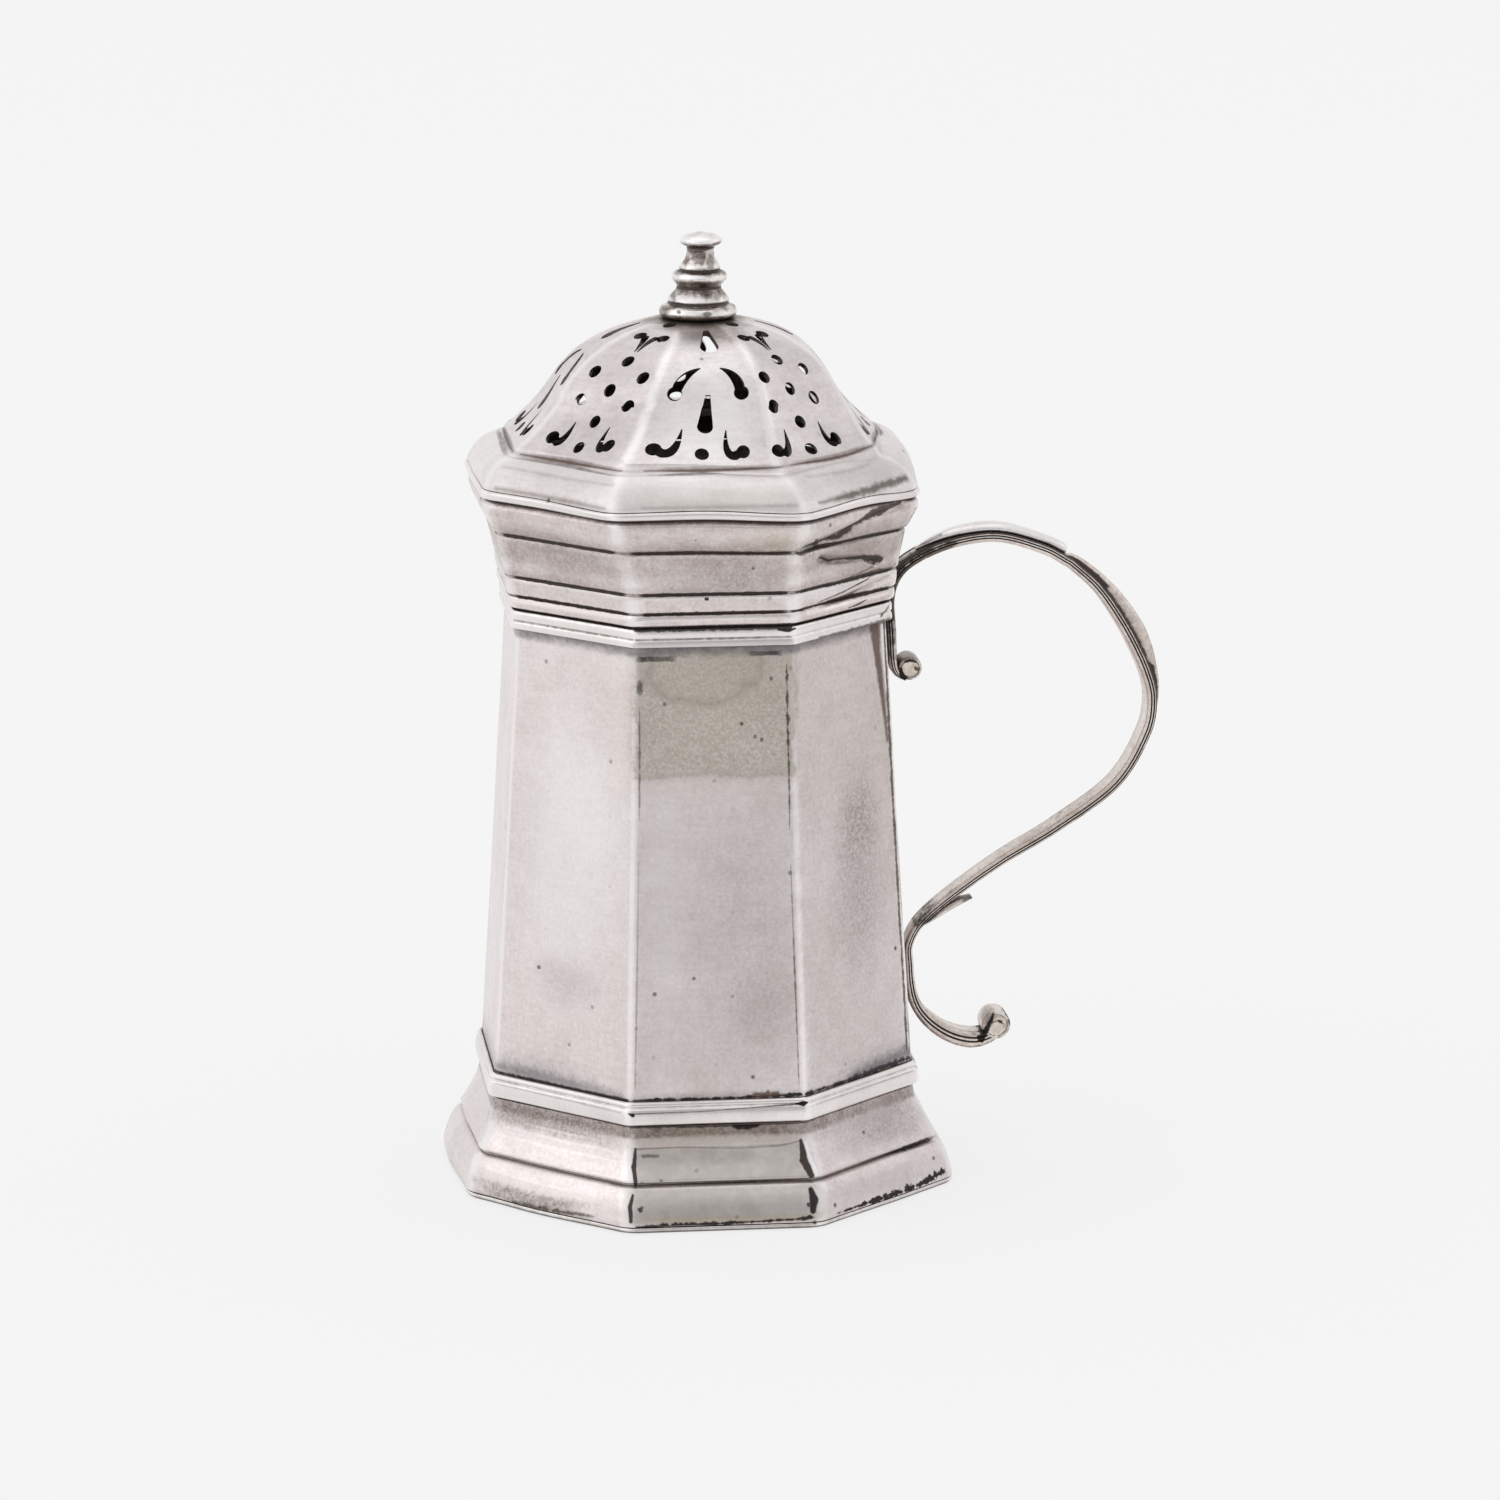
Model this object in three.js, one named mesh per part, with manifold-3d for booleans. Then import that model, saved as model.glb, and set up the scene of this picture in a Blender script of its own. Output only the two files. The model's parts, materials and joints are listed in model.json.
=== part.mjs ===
// Octagonal silver sugar dredger: a tapered body on a spreading foot, a pull-off cover
// with a pierced dome and a turned finial, and a scroll handle.
// Sizes are in millimetres. Z is up and the handle points along +X. A radius of an
// octagonal piece is measured to its corners.
import * as THREE from 'three';
import { mergeVertices } from 'three/addons/utils/BufferGeometryUtils.js';
import Module from 'manifold-3d';

const wasm = await Module();
wasm.setup();

// The octagon that every formed piece follows
const panelCount = 8;
const panelTurn = (2 * Math.PI) / panelCount;
const flatShare = Math.cos(panelTurn / 2);
const halfFlatShare = Math.sin(panelTurn / 2);

// Sheet thicknesses, solder seams and clearances
const footWall = 0.9;
const bodyWall = 0.85;
const basePlateWall = 0.9;
const neckWall = 0.7;
const coverWall = 0.8;
const domeWall = 0.75;
const solderGap = 0.05;
const slipClearance = 0.12;
const coverSeatGap = 0.3;

// Foot
const footRimRadius = 33.4;
const footRimWidth = 1.7;
const footRimHeight = 0.75;
const footRimShares = [[0, 0], [0.5, 0], [0.85, 0.12], [1, 0.5], [0.94, 1], [0, 1]];
const footHeight = 12.3;
const footTopProud = 0.08;
const footOuterShares = [
  [1, 0], [0.98, 0.06], [0.88, 0.19], [0.76, 0.31], [0.62, 0.385], [0.4, 0.41], [0.55, 0.445],
  [0.45, 0.515], [0.294, 0.627], [0.118, 0.776], [0.03, 0.9], [0, 1],
];
const footInnerShares = [[0.95, 0], [0.84, 0.19], [0.42, 0.39], [0.4, 0.5], [0.1, 0.77], [0, 1]];

// Body
const bodyHeight = 60.7;
const bodyBottomRadius = 28.22;
const bodyTopRadius = 24.41;
const basePlateRise = 0.6;

// Moulded wires round the body
const lowerWireHeight = 2.95;
const lowerWireDepth = 0.8;
const lowerWireShares = [
  [0.3, 0], [0.78, 0.06], [1, 0.2], [1, 0.5], [0.86, 0.7], [0.5, 0.77], [0.72, 0.83], [0.66, 0.94], [0.35, 1],
];
const topWireHeight = 2.35;
const topWireDepth = 0.82;
const topWireShares = [
  [0.45, 0], [0.85, 0.04], [0.95, 0.16], [0.93, 0.36], [0.68, 0.46], [0.95, 0.55], [1, 0.72],
  [0.97, 0.88], [0.75, 1],
];
const topWireProud = 0.2;

// Neck sleeve, which stands in the body's mouth and guides the cover
const neckDepth = 7.2;
const neckStand = 9.4;
const neckStepHeight = 0.35;

// Cover band
const coverBandHeight = 13.7;
const coverProud = 0.89;
const coverFlare = 3.95;
const coverBandShares = [
  [0, 0], [0.08, 0.02], [0.1, 0.06], [0.07, 0.1], [0, 0.115], [0.11, 0.13], [0.16, 0.2], [0.17, 0.27],
  [0.1, 0.29], [0.22, 0.31], [0.29, 0.4], [0.38, 0.5], [0.5, 0.61], [0.54, 0.66], [0.48, 0.68],
  [0.62, 0.7], [0.76, 0.765], [0.92, 0.84], [1, 0.88], [1, 0.94], [0.92, 0.975], [0.86, 1],
];
const coverBandInnerShares = [[0, 0], [0.1, 0.2], [0.26, 0.4], [0.45, 0.61], [0.72, 0.78], [0.82, 0.88], [0.82, 1]];

// Cornice and its fillet wire
const corniceWireHeight = 1.1;
const corniceWireWidth = 1.15;
const corniceWireProud = 0.35;
const corniceWireShares = [[0, 0], [0.76, 0], [1, 0.25], [1, 0.75], [0.76, 1], [0, 1]];
const corniceHeight = 3.85;
const corniceProud = 0.15;
const corniceRun = 5;
const corniceSeatMargin = 0.2;
const corniceSeatDepth = 0.25;
const corniceSeatWidth = 1.3;
const corniceShares = [
  [1, 0], [1, 0.1], [0.93, 0.3], [0.75, 0.6], [0.5, 0.83], [0.24, 0.96], [0, 1],
];

// Pierced dome
const domeHeight = 15.2;
const crownHoleRadius = 1.35;
const domeShares = [
  [1, 0], [1, 0.045], [0.955, 0.115], [0.885, 0.22], [0.82, 0.33], [0.765, 0.455], [0.712, 0.585],
  [0.645, 0.705], [0.55, 0.815], [0.43, 0.907], [0.29, 0.97], [0.18, 1],
];
const cornerSoftBaseShare = 0.08;
const cornerSoftCrownShare = 0.5;

// Piercings, placed by shares across half a panel and up the dome, with real radii
const dotRadius = 0.82;
const dotSteps = 8;
const commaRadius = 0.92;
const smallCommaRadius = 0.62;
const commaTailWidth = 0.85;
const commaTipWidth = 0.18;
const commaSteps = 4;
const wedgeTopWidth = 0.6;
const wedgeRadius = 0.95;
const dropRadius = 0.95;
const dropTipWidth = 0.5;
const piercingReach = 2.2;
const slopeSpanShare = 0.03;
const frontCommaShares = [
  { bulb: [0.6, 0.565], bend: [0.52, 0.68], tip: [0.23, 0.735] },
  { bulb: [0.59, 0.165], bend: [0.28, 0.16], tip: [0.33, 0.29] },
];
const frontWedgeShares = { base: [0, 0.32], tip: [0, 0.55] };
const frontDropShares = { base: [0, 0.87], tip: [0, 0.96] };
const frontDotShares = [[0, 0.13]];
const sideCommaShares = [{ bulb: [0.58, 0.165], bend: [0.36, 0.15], tip: [0.33, 0.27] }];
const sideSmallCommaShares = [{ bulb: [0.46, 0.915], bend: [0.12, 0.9], tip: [0.08, 0.84] }];
const sideDotShares = [
  [0, 0.98], [0, 0.755], [0.6, 0.665], [-0.6, 0.665], [0, 0.55], [0.53, 0.455], [-0.53, 0.455], [0, 0.31], [0, 0.125],
];
// How far each panel's pattern sits clockwise of its middle, at the dome's foot and crown
const patternShiftShares = [
  [0, 0], [0, 0], [0, 0], [0, 0], [0, 0], [0.05, -0.1], [0.125, -0.09], [0.366, 0.19],
];

// Finial
const finialHeight = 10.4;
const finialBaseRadius = 4.78;
const finialSteps = 24;
const finialPegRadius = 1.2;
const finialPegLength = 1.5;
const finialShares = [
  [0.9, 0], [0.98, 0.03], [1, 0.07], [0.95, 0.13], [0.79, 0.16], [0.77, 0.185], [0.8, 0.215], [0.7, 0.27],
  [0.58, 0.335], [0.56, 0.37], [0.62, 0.41], [0.7, 0.45], [0.715, 0.49], [0.66, 0.53], [0.51, 0.555],
  [0.53, 0.595], [0.47, 0.65], [0.36, 0.72], [0.345, 0.79], [0.4, 0.84], [0.54, 0.87], [0.56, 0.905],
  [0.5, 0.945], [0.3, 0.985], [0, 1],
];

// Scroll handle: rows of out, down, width, thickness and rib shares along the strap
const handleReach = 32.3;
const strapWidth = 4.3;
const strapThickness = 1.2;
const strapRibHeight = 1.6;
const strapRibWidth = 1.9;
const strapGrooveDepth = 0.12;
const strapStepsPerRow = 2;
const strapSeatGap = 0.15;
const strapLift = 0.7;
const strapShares = [
  [0.047, 0.228, 0.95, 0.5, 0], [0.012, 0.212, 0.98, 0.7, 0], [0, 0.18, 1, 0.9, 0], [0, 0.1, 1, 1, 0],
  [0, 0.02, 1, 1, 0], [0.03, -0.038, 1, 1, 0], [0.102, -0.082, 1, 1, 0], [0.25, -0.123, 1, 1, 0],
  [0.427, -0.137, 1, 1, 0], [0.6, -0.104, 1, 1, 0], [0.685, -0.072, 1, 1, 0], [0.715, -0.058, 1, 1, 0.38],
  [0.8, -0.003, 1, 1.05, 0.6], [0.865, 0.061, 1, 1.08, 0.88], [0.93, 0.143, 1, 1.1, 1], [0.98, 0.228, 1, 1.1, 0.6],
  [0.997, 0.3, 1, 1.1, 0.2], [0.965, 0.39, 0.98, 1.1, 0], [0.839, 0.519, 0.95, 1.08, 0],
  [0.6, 0.632, 0.91, 1.05, 0], [0.381, 0.716, 0.88, 1, 0], [0.179, 0.807, 0.86, 0.92, 0],
  [0.055, 0.876, 0.85, 0.85, 0], [0.003, 0.935, 0.85, 0.88, 0], [0, 0.985, 0.86, 0.95, 0],
  [0, 1.03, 0.88, 1, 0], [0.0105, 1.081, 0.9, 1.08, 0], [0.038, 1.12, 0.92, 1.2, 0],
  [0.0877, 1.155, 0.94, 1.4, 0], [0.15, 1.181, 0.96, 1.55, 0], [0.22, 1.194, 0.98, 1.6, 0],
  [0.276, 1.19, 0.99, 1.4, 0], [0.326, 1.174, 0.99, 1, 0], [0.352, 1.146, 0.99, 0.65, 0],
];

// Rolled ends of the strap
const rollLength = 4.4;
const rollEdge = 0.25;
const rollSteps = 20;
const upperRollRadius = 1.5;
const upperRollShares = [0.064, 0.2];
const lowerRollRadius = 1.85;
const lowerRollShares = [0.3245, 1.154];

// Thumb rest on the strap: rows of along, width and height shares
const thumbRestWidth = 3.2;
const thumbRestHeight = 0.95;
const thumbRestSteps = 18;
const thumbRestShares = [
  [0.188, 0.3, 0.2], [0.2, 0.6, 0.55], [0.215, 0.85, 0.9], [0.235, 1, 1], [0.255, 0.92, 0.98], [0.272, 0.8, 0.94],
  [0.284, 0.78, 1], [0.294, 0.72, 1], [0.3, 0.4, 0.6],
];

// Spur under the lower strap: rows of along, width, thickness and lift shares
const spurWidth = 2.6;
const spurThickness = 0.9;
const spurLift = 1.1;
const spurSteps = 10;
const spurShares = [
  [0.668, 0.5, 0.25, 0], [0.66, 0.85, 0.6, 0], [0.65, 1, 0.9, 0], [0.642, 0.95, 1, 0.12], [0.634, 0.8, 0.85, 0.5],
  [0.628, 0.6, 0.5, 1],
];

// Solder pad between the body and the strap's lower bend
const padHeight = 6.2;
const padThickness = 0.8;
const padWidth = 2.8;
const padTaper = 0.7;
const padRise = 9.225;

// Radii and heights worked out from the sizes above
const footTopRadius = bodyBottomRadius + footTopProud;
const coverBottomRadius = bodyTopRadius + coverProud;
const coverFlareRadius = coverBottomRadius + coverFlare;
const corniceRadius = coverFlareRadius + corniceProud;
const corniceWireRadius = corniceRadius + corniceWireProud;
const domeBaseRadius = corniceRadius - corniceRun;
const corniceSeatRadius = domeBaseRadius + corniceSeatMargin;
const bodyBottomZ = footHeight + solderGap;
const bodyTopZ = bodyBottomZ + bodyHeight;
const topWireTopZ = bodyTopZ + topWireProud;
const topWireBottomZ = topWireTopZ - topWireHeight;
const coverBottomZ = topWireTopZ + coverSeatGap;
const coverBandTopZ = coverBottomZ + coverBandHeight;
const corniceWireZ = coverBandTopZ + solderGap;
const corniceBottomZ = corniceWireZ + corniceWireHeight + solderGap;
const corniceTopZ = corniceBottomZ + corniceHeight;
const domeBottomZ = corniceTopZ - corniceSeatDepth + solderGap;
const crownZ = domeBottomZ + domeHeight;
const finialZ = crownZ + solderGap;

// Finishes
const satinSilver = new THREE.MeshStandardMaterial({ color: 0xbdb5b0, roughness: 0.38, metalness: 1 });
const brightSilver = new THREE.MeshStandardMaterial({ color: 0xcfcac5, roughness: 0.24, metalness: 1 });
const wornSilver = new THREE.MeshStandardMaterial({ color: 0xb4aca4, roughness: 0.32, metalness: 1 });
const insideSilver = new THREE.MeshStandardMaterial({ color: 0x9d9690, roughness: 0.5, metalness: 1 });

// Corner radius of the body's outer face at a height
function bodyRadiusAt(z) {
  const share = (z - bodyBottomZ) / bodyHeight;
  return THREE.MathUtils.lerp(bodyBottomRadius, bodyTopRadius, share);
}

// Points of an outline between two radii and two heights
function outline(shares, radiusFrom, radiusTo, zFrom, zTo) {
  return shares.map(([radiusShare, zShare]) => new THREE.Vector2(
    THREE.MathUtils.lerp(radiusFrom, radiusTo, radiusShare),
    THREE.MathUtils.lerp(zFrom, zTo, zShare),
  ));
}

// An outline moved sideways by a distance, to the left of its direction
function offsetLine(points, distance) {
  return points.map((point, index) => {
    const before = points[Math.max(index - 1, 0)];
    const after = points[Math.min(index + 1, points.length - 1)];
    const inward = leftOf(before, point);
    const outward = leftOf(point, after);
    const side = index === 0 ? outward : index === points.length - 1 ? inward : inward.clone().add(outward).normalize();
    const mitre = distance / side.dot(index === 0 ? outward : inward);
    return point.clone().addScaledVector(side, mitre);
  });
}

// Unit vector to the left of the way from one point to another
function leftOf(from, to) {
  return new THREE.Vector2(from.y - to.y, to.x - from.x).normalize();
}

// Turns a closed mesh's faces outwards
function facingOut(geometry) {
  const position = geometry.getAttribute('position');
  const index = geometry.getIndex();
  const corners = [new THREE.Vector3(), new THREE.Vector3(), new THREE.Vector3()];
  let volume = 0;
  for (let face = 0; face < index.count; face += 3) {
    corners.forEach((corner, k) => corner.fromBufferAttribute(position, index.getX(face + k)));
    volume += corners[0].dot(corners[1].clone().cross(corners[2]));
  }
  if (volume < 0) {
    const array = Array.from(index.array);
    for (let face = 0; face < array.length; face += 3) {
      [array[face], array[face + 1]] = [array[face + 1], array[face]];
    }
    geometry.setIndex(array);
  }
  return geometry;
}

// A geometry reduced to shared corners and faces that point out
function welded(geometry) {
  geometry.deleteAttribute('normal');
  geometry.deleteAttribute('uv');
  return facingOut(mergeVertices(geometry));
}

// A profile in radius and height, revolved in flat panels or in the round
function revolved(profile, sides) {
  const closed = profile[0].x === 0 ? profile : [...profile, profile[0]];
  const geometry = new THREE.LatheGeometry(closed, sides, Math.PI / sides);
  geometry.rotateX(Math.PI / 2);
  return welded(geometry);
}

function octagonRing(profile) {
  return revolved(profile, panelCount);
}

// Joins rings of equal length into one skin, either closed round or capped at its ends
function loft(rings, endless) {
  const size = rings[0].length;
  const faces = [];
  const last = endless ? rings.length : rings.length - 1;
  for (let row = 0; row < last; row += 1) {
    const next = (row + 1) % rings.length;
    for (let k = 0; k < size; k += 1) {
      const beside = (k + 1) % size;
      faces.push(row * size + k, row * size + beside, next * size + k);
      faces.push(row * size + beside, next * size + beside, next * size + k);
    }
  }
  if (!endless) {
    const end = (rings.length - 1) * size;
    for (let k = 1; k < size - 1; k += 1) {
      faces.push(0, k + 1, k);
      faces.push(end, end + k, end + k + 1);
    }
  }
  const geometry = new THREE.BufferGeometry();
  const numbers = rings.flat().flatMap((point) => point.toArray());
  geometry.setAttribute('position', new THREE.Float32BufferAttribute(numbers, 3));
  geometry.setIndex(faces);
  return facingOut(geometry);
}

// A geometry as a solid that can be joined and cut, and back again
function solidOf(geometry) {
  const position = geometry.getAttribute('position');
  return new wasm.Manifold(new wasm.Mesh({
    numProp: 3,
    vertProperties: Float32Array.from(position.array),
    triVerts: Uint32Array.from(geometry.getIndex().array),
  }));
}

function geometryOf(solid) {
  const mesh = solid.getMesh();
  const geometry = new THREE.BufferGeometry();
  geometry.setAttribute('position', new THREE.BufferAttribute(mesh.vertProperties, 3));
  geometry.setIndex(Array.from(mesh.triVerts));
  return geometry;
}

function piece(name, geometry, material) {
  geometry.computeVertexNormals();
  const mesh = new THREE.Mesh(geometry, material);
  mesh.name = name;
  return mesh;
}

// The standing rim wire under the foot
function footRim() {
  const inner = footRimRadius - footRimWidth;
  const profile = outline(footRimShares, inner, footRimRadius, 0, footRimHeight);
  return piece('foot_rim', octagonRing(profile), wornSilver);
}

// The spreading foot, swaged from sheet
function foot() {
  const low = footRimHeight + solderGap;
  const wall = footWall / flatShare;
  const outer = outline(footOuterShares, footTopRadius, footRimRadius, low, footHeight);
  const inner = outline(footInnerShares, footTopRadius - wall, footRimRadius - wall, low, footHeight);
  return piece('foot', octagonRing([...outer, ...inner.reverse()]), satinSilver);
}

function basePlate() {
  const low = bodyBottomZ + basePlateRise;
  const high = low + basePlateWall;
  const edge = bodyRadiusAt(high) - (bodyWall + solderGap) / flatShare;
  const profile = [
    new THREE.Vector2(0, low),
    new THREE.Vector2(edge, low),
    new THREE.Vector2(edge, high),
    new THREE.Vector2(0, high),
  ];
  return piece('base_plate', octagonRing(profile), insideSilver);
}

// The tapered body tube
function bodyShell() {
  const wall = bodyWall / flatShare;
  const profile = [
    new THREE.Vector2(bodyBottomRadius, bodyBottomZ),
    new THREE.Vector2(bodyTopRadius, bodyTopZ),
    new THREE.Vector2(bodyTopRadius - wall, bodyTopZ),
    new THREE.Vector2(bodyBottomRadius - wall, bodyBottomZ),
  ];
  return piece('body_shell', octagonRing(profile), satinSilver);
}

// A moulded wire soldered round the body, from a table of its section
function bodyWire(name, shares, low, height, depth) {
  const high = low + height;
  const seam = solderGap / flatShare;
  const outer = shares.map(([depthShare, zShare]) => {
    const z = THREE.MathUtils.lerp(low, high, zShare);
    return new THREE.Vector2(bodyRadiusAt(z) + seam + depth * depthShare, z);
  });
  const profile = [
    new THREE.Vector2(bodyRadiusAt(low) + seam, low),
    ...outer,
    new THREE.Vector2(bodyRadiusAt(high) + seam, high),
  ];
  return piece(name, octagonRing(profile), brightSilver);
}

// The neck sleeve: its lower part fits the body's mouth and its upper part the cover
function neckSleeve() {
  const mouth = bodyRadiusAt(bodyTopZ) - (bodyWall + solderGap) / flatShare;
  const guide = coverBottomRadius - (coverWall + slipClearance) / flatShare;
  const stepZ = bodyTopZ + solderGap;
  const outer = [
    new THREE.Vector2(mouth, bodyTopZ - neckDepth),
    new THREE.Vector2(mouth, stepZ),
    new THREE.Vector2(guide, stepZ),
    new THREE.Vector2(guide, bodyTopZ + neckStand),
  ];
  const wall = neckWall / flatShare;
  const inner = [
    new THREE.Vector2(guide - wall, bodyTopZ + neckStand),
    new THREE.Vector2(guide - wall, stepZ + neckWall + neckStepHeight),
    new THREE.Vector2(mouth - wall, stepZ),
    new THREE.Vector2(mouth - wall, bodyTopZ - neckDepth),
  ];
  return piece('neck_sleeve', octagonRing([...outer, ...inner]), insideSilver);
}

// The flared, reeded band that forms the cover's side
function coverBand() {
  const wall = coverWall / flatShare;
  const outer = outline(coverBandShares, coverBottomRadius, coverFlareRadius, coverBottomZ, coverBandTopZ);
  const inner = outline(
    coverBandInnerShares,
    coverBottomRadius - wall,
    coverFlareRadius - wall,
    coverBottomZ,
    coverBandTopZ,
  );
  return piece('cover_band', octagonRing([...outer, ...inner.reverse()]), satinSilver);
}

// The fillet wire between the band and the cornice
function corniceWire() {
  const inner = corniceWireRadius - corniceWireWidth;
  const high = corniceWireZ + corniceWireHeight;
  const profile = outline(corniceWireShares, inner, corniceWireRadius, corniceWireZ, high);
  return piece('cornice_wire', octagonRing(profile), brightSilver);
}

// The hollow cornice, with a seat for the dome at its inner edge
function cornice() {
  const roof = outline(corniceShares, corniceSeatRadius, corniceRadius, corniceBottomZ, corniceTopZ);
  const under = offsetLine(roof, coverWall);
  const seatZ = corniceTopZ - corniceSeatDepth;
  const seatEdge = corniceSeatRadius - corniceSeatWidth;
  const low = under[0];
  const profile = [
    ...roof,
    new THREE.Vector2(corniceSeatRadius - corniceSeatDepth / 2, seatZ),
    new THREE.Vector2(seatEdge, seatZ),
    new THREE.Vector2(seatEdge, seatZ - coverWall),
    ...under.slice(1, -1).reverse(),
    new THREE.Vector2(low.x, corniceBottomZ),
  ];
  return piece('cornice', octagonRing(profile), brightSilver);
}

// Share of each half panel that the soft corners of the dome take, at a height share
function cornerSoftness(zShare) {
  return THREE.MathUtils.lerp(cornerSoftBaseShare, cornerSoftCrownShare, zShare * zShare);
}

// One level of the dome: eight flats with a narrow flat across each corner
function domeRing(radius, z) {
  const zShare = (z - domeBottomZ) / domeHeight;
  const reach = radius * flatShare;
  const half = radius * halfFlatShare * (1 - cornerSoftness(THREE.MathUtils.clamp(zShare, 0, 1)));
  const ring = [];
  for (let panel = 0; panel < panelCount; panel += 1) {
    const turn = panel * panelTurn;
    for (const side of [-half, half]) {
      ring.push(new THREE.Vector3(
        reach * Math.cos(turn) - side * Math.sin(turn),
        reach * Math.sin(turn) + side * Math.cos(turn),
        z,
      ));
    }
  }
  return ring;
}

function domeOutline() {
  return outline(domeShares, 0, domeBaseRadius, domeBottomZ, crownZ);
}

// Place on a panel, seen from its middle: across it, out from the axis and up
function panelPoint(line, acrossShare, zShare) {
  const z = THREE.MathUtils.lerp(domeBottomZ, crownZ, zShare);
  const row = Math.max(line.findIndex((point) => point.y >= z), 1);
  const share = (z - line[row - 1].y) / (line[row].y - line[row - 1].y);
  const radius = THREE.MathUtils.lerp(line[row - 1].x, line[row].x, share);
  return new THREE.Vector3(radius * halfFlatShare * acrossShare, radius * flatShare, z);
}

// Where a place of a pattern lies across its panel, with the panel's own shift
function shifted(panel, acrossShare, zShare) {
  const [footShift, crownShift] = patternShiftShares[panel];
  return acrossShare + THREE.MathUtils.lerp(footShift, crownShift, zShare);
}

// A frame that lies on a panel at a place: across, up its slope and outwards
function panelFrame(line, acrossShare, zShare) {
  const low = panelPoint(line, 0, zShare - slopeSpanShare);
  const high = panelPoint(line, 0, Math.min(zShare + slopeSpanShare, 1));
  const up = high.clone().sub(low).normalize();
  const across = new THREE.Vector3(1, 0, 0);
  const out = across.clone().cross(up).negate();
  const origin = panelPoint(line, acrossShare, zShare);
  return { origin, across, up, out };
}

function inFrame(frame, point) {
  const arm = point.clone().sub(frame.origin);
  return new THREE.Vector2(arm.dot(frame.across), arm.dot(frame.up));
}

// A round-ended tail from a bulb through a bend to a narrow tip
function commaOutline(bulb, bend, tip, radius, tailWidth, tipWidth) {
  const spine = new THREE.QuadraticBezierCurve(bulb, bend, tip);
  const left = [];
  const right = [];
  for (let step = 1; step <= commaSteps; step += 1) {
    const share = step / commaSteps;
    const point = spine.getPoint(share);
    const side = leftOf(new THREE.Vector2(), spine.getTangent(share));
    const half = THREE.MathUtils.lerp(tailWidth, tipWidth, share) / 2;
    if (point.distanceTo(bulb) > radius) {
      left.push(point.clone().addScaledVector(side, half));
      right.push(point.clone().addScaledVector(side, -half));
    }
  }
  const first = left[0].clone().sub(bulb).angle();
  const last = right[0].clone().sub(bulb).angle();
  const sweep = (2 * Math.PI + last - first) % (2 * Math.PI);
  const round = [];
  for (let step = 1; step < dotSteps; step += 1) {
    const turn = first + (sweep * step) / dotSteps;
    round.push(new THREE.Vector2(bulb.x + radius * Math.cos(turn), bulb.y + radius * Math.sin(turn)));
  }
  return [...left.reverse(), ...round, ...right];
}

function dotOutline(centre, radius) {
  const points = [];
  for (let step = 0; step < dotSteps; step += 1) {
    const turn = (2 * Math.PI * step) / dotSteps;
    points.push(new THREE.Vector2(centre.x + radius * Math.cos(turn), centre.y + radius * Math.sin(turn)));
  }
  return points;
}

// A round base that tapers to a narrow square top, for wedges and drops
function taperOutline(base, tip, radius, tipWidth) {
  const points = [];
  const half = dotSteps / 2;
  for (let step = 0; step <= half; step += 1) {
    const turn = Math.PI + (Math.PI * step) / half;
    points.push(new THREE.Vector2(base.x + radius * Math.cos(turn), base.y + radius * Math.sin(turn)));
  }
  points.push(new THREE.Vector2(tip.x + tipWidth / 2, tip.y));
  points.push(new THREE.Vector2(tip.x - tipWidth / 2, tip.y));
  return points;
}

// One piercing: an outline on a panel, cut straight through the sheet
function piercing(frame, points, panel) {
  const shape = new THREE.Shape(points);
  const geometry = new THREE.ExtrudeGeometry(shape, { depth: 2 * piercingReach, bevelEnabled: false });
  geometry.translate(0, 0, -piercingReach);
  const place = new THREE.Matrix4().makeBasis(frame.across, frame.up, frame.out);
  place.setPosition(frame.origin);
  geometry.applyMatrix4(place);
  geometry.rotateZ(panel * panelTurn - Math.PI / 2);
  return solidOf(welded(geometry));
}

// Both hands of each comma in a table
function commaPiercings(line, shares, panel, radius) {
  const cuts = [];
  for (const { bulb, bend, tip } of shares) {
    for (const hand of [-1, 1]) {
      const at = ([across, up]) => panelPoint(line, shifted(panel, hand * across, up), up);
      const middle = (bulb[1] + tip[1]) / 2;
      const frame = panelFrame(line, shifted(panel, hand * bend[0], middle), middle);
      const places = [bulb, bend, tip].map((share) => inFrame(frame, at(share)));
      const tail = Math.min(commaTailWidth, radius);
      cuts.push(piercing(frame, commaOutline(...places, radius, tail, commaTipWidth), panel));
    }
  }
  return cuts;
}

function dotPiercings(line, shares, panel) {
  return shares.map(([across, up]) => {
    const frame = panelFrame(line, shifted(panel, across, up), up);
    return piercing(frame, dotOutline(new THREE.Vector2(), dotRadius), panel);
  });
}

function taperPiercing(line, { base, tip }, panel, radius, tipWidth) {
  const middle = (base[1] + tip[1]) / 2;
  const frame = panelFrame(line, shifted(panel, base[0], middle), middle);
  const at = ([across, up]) => panelPoint(line, shifted(panel, across, up), up);
  const places = [base, tip].map((share) => inFrame(frame, at(share)));
  return piercing(frame, taperOutline(...places, radius, tipWidth), panel);
}

function frontPattern(line, panel) {
  return [
    ...commaPiercings(line, frontCommaShares, panel, commaRadius),
    ...dotPiercings(line, frontDotShares, panel),
    taperPiercing(line, frontWedgeShares, panel, wedgeRadius, wedgeTopWidth),
    taperPiercing(line, frontDropShares, panel, dropRadius, dropTipWidth),
  ];
}

function sidePattern(line, panel) {
  return [
    ...commaPiercings(line, sideCommaShares, panel, commaRadius),
    ...commaPiercings(line, sideSmallCommaShares, panel, smallCommaRadius),
    ...dotPiercings(line, sideDotShares, panel),
  ];
}

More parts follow.
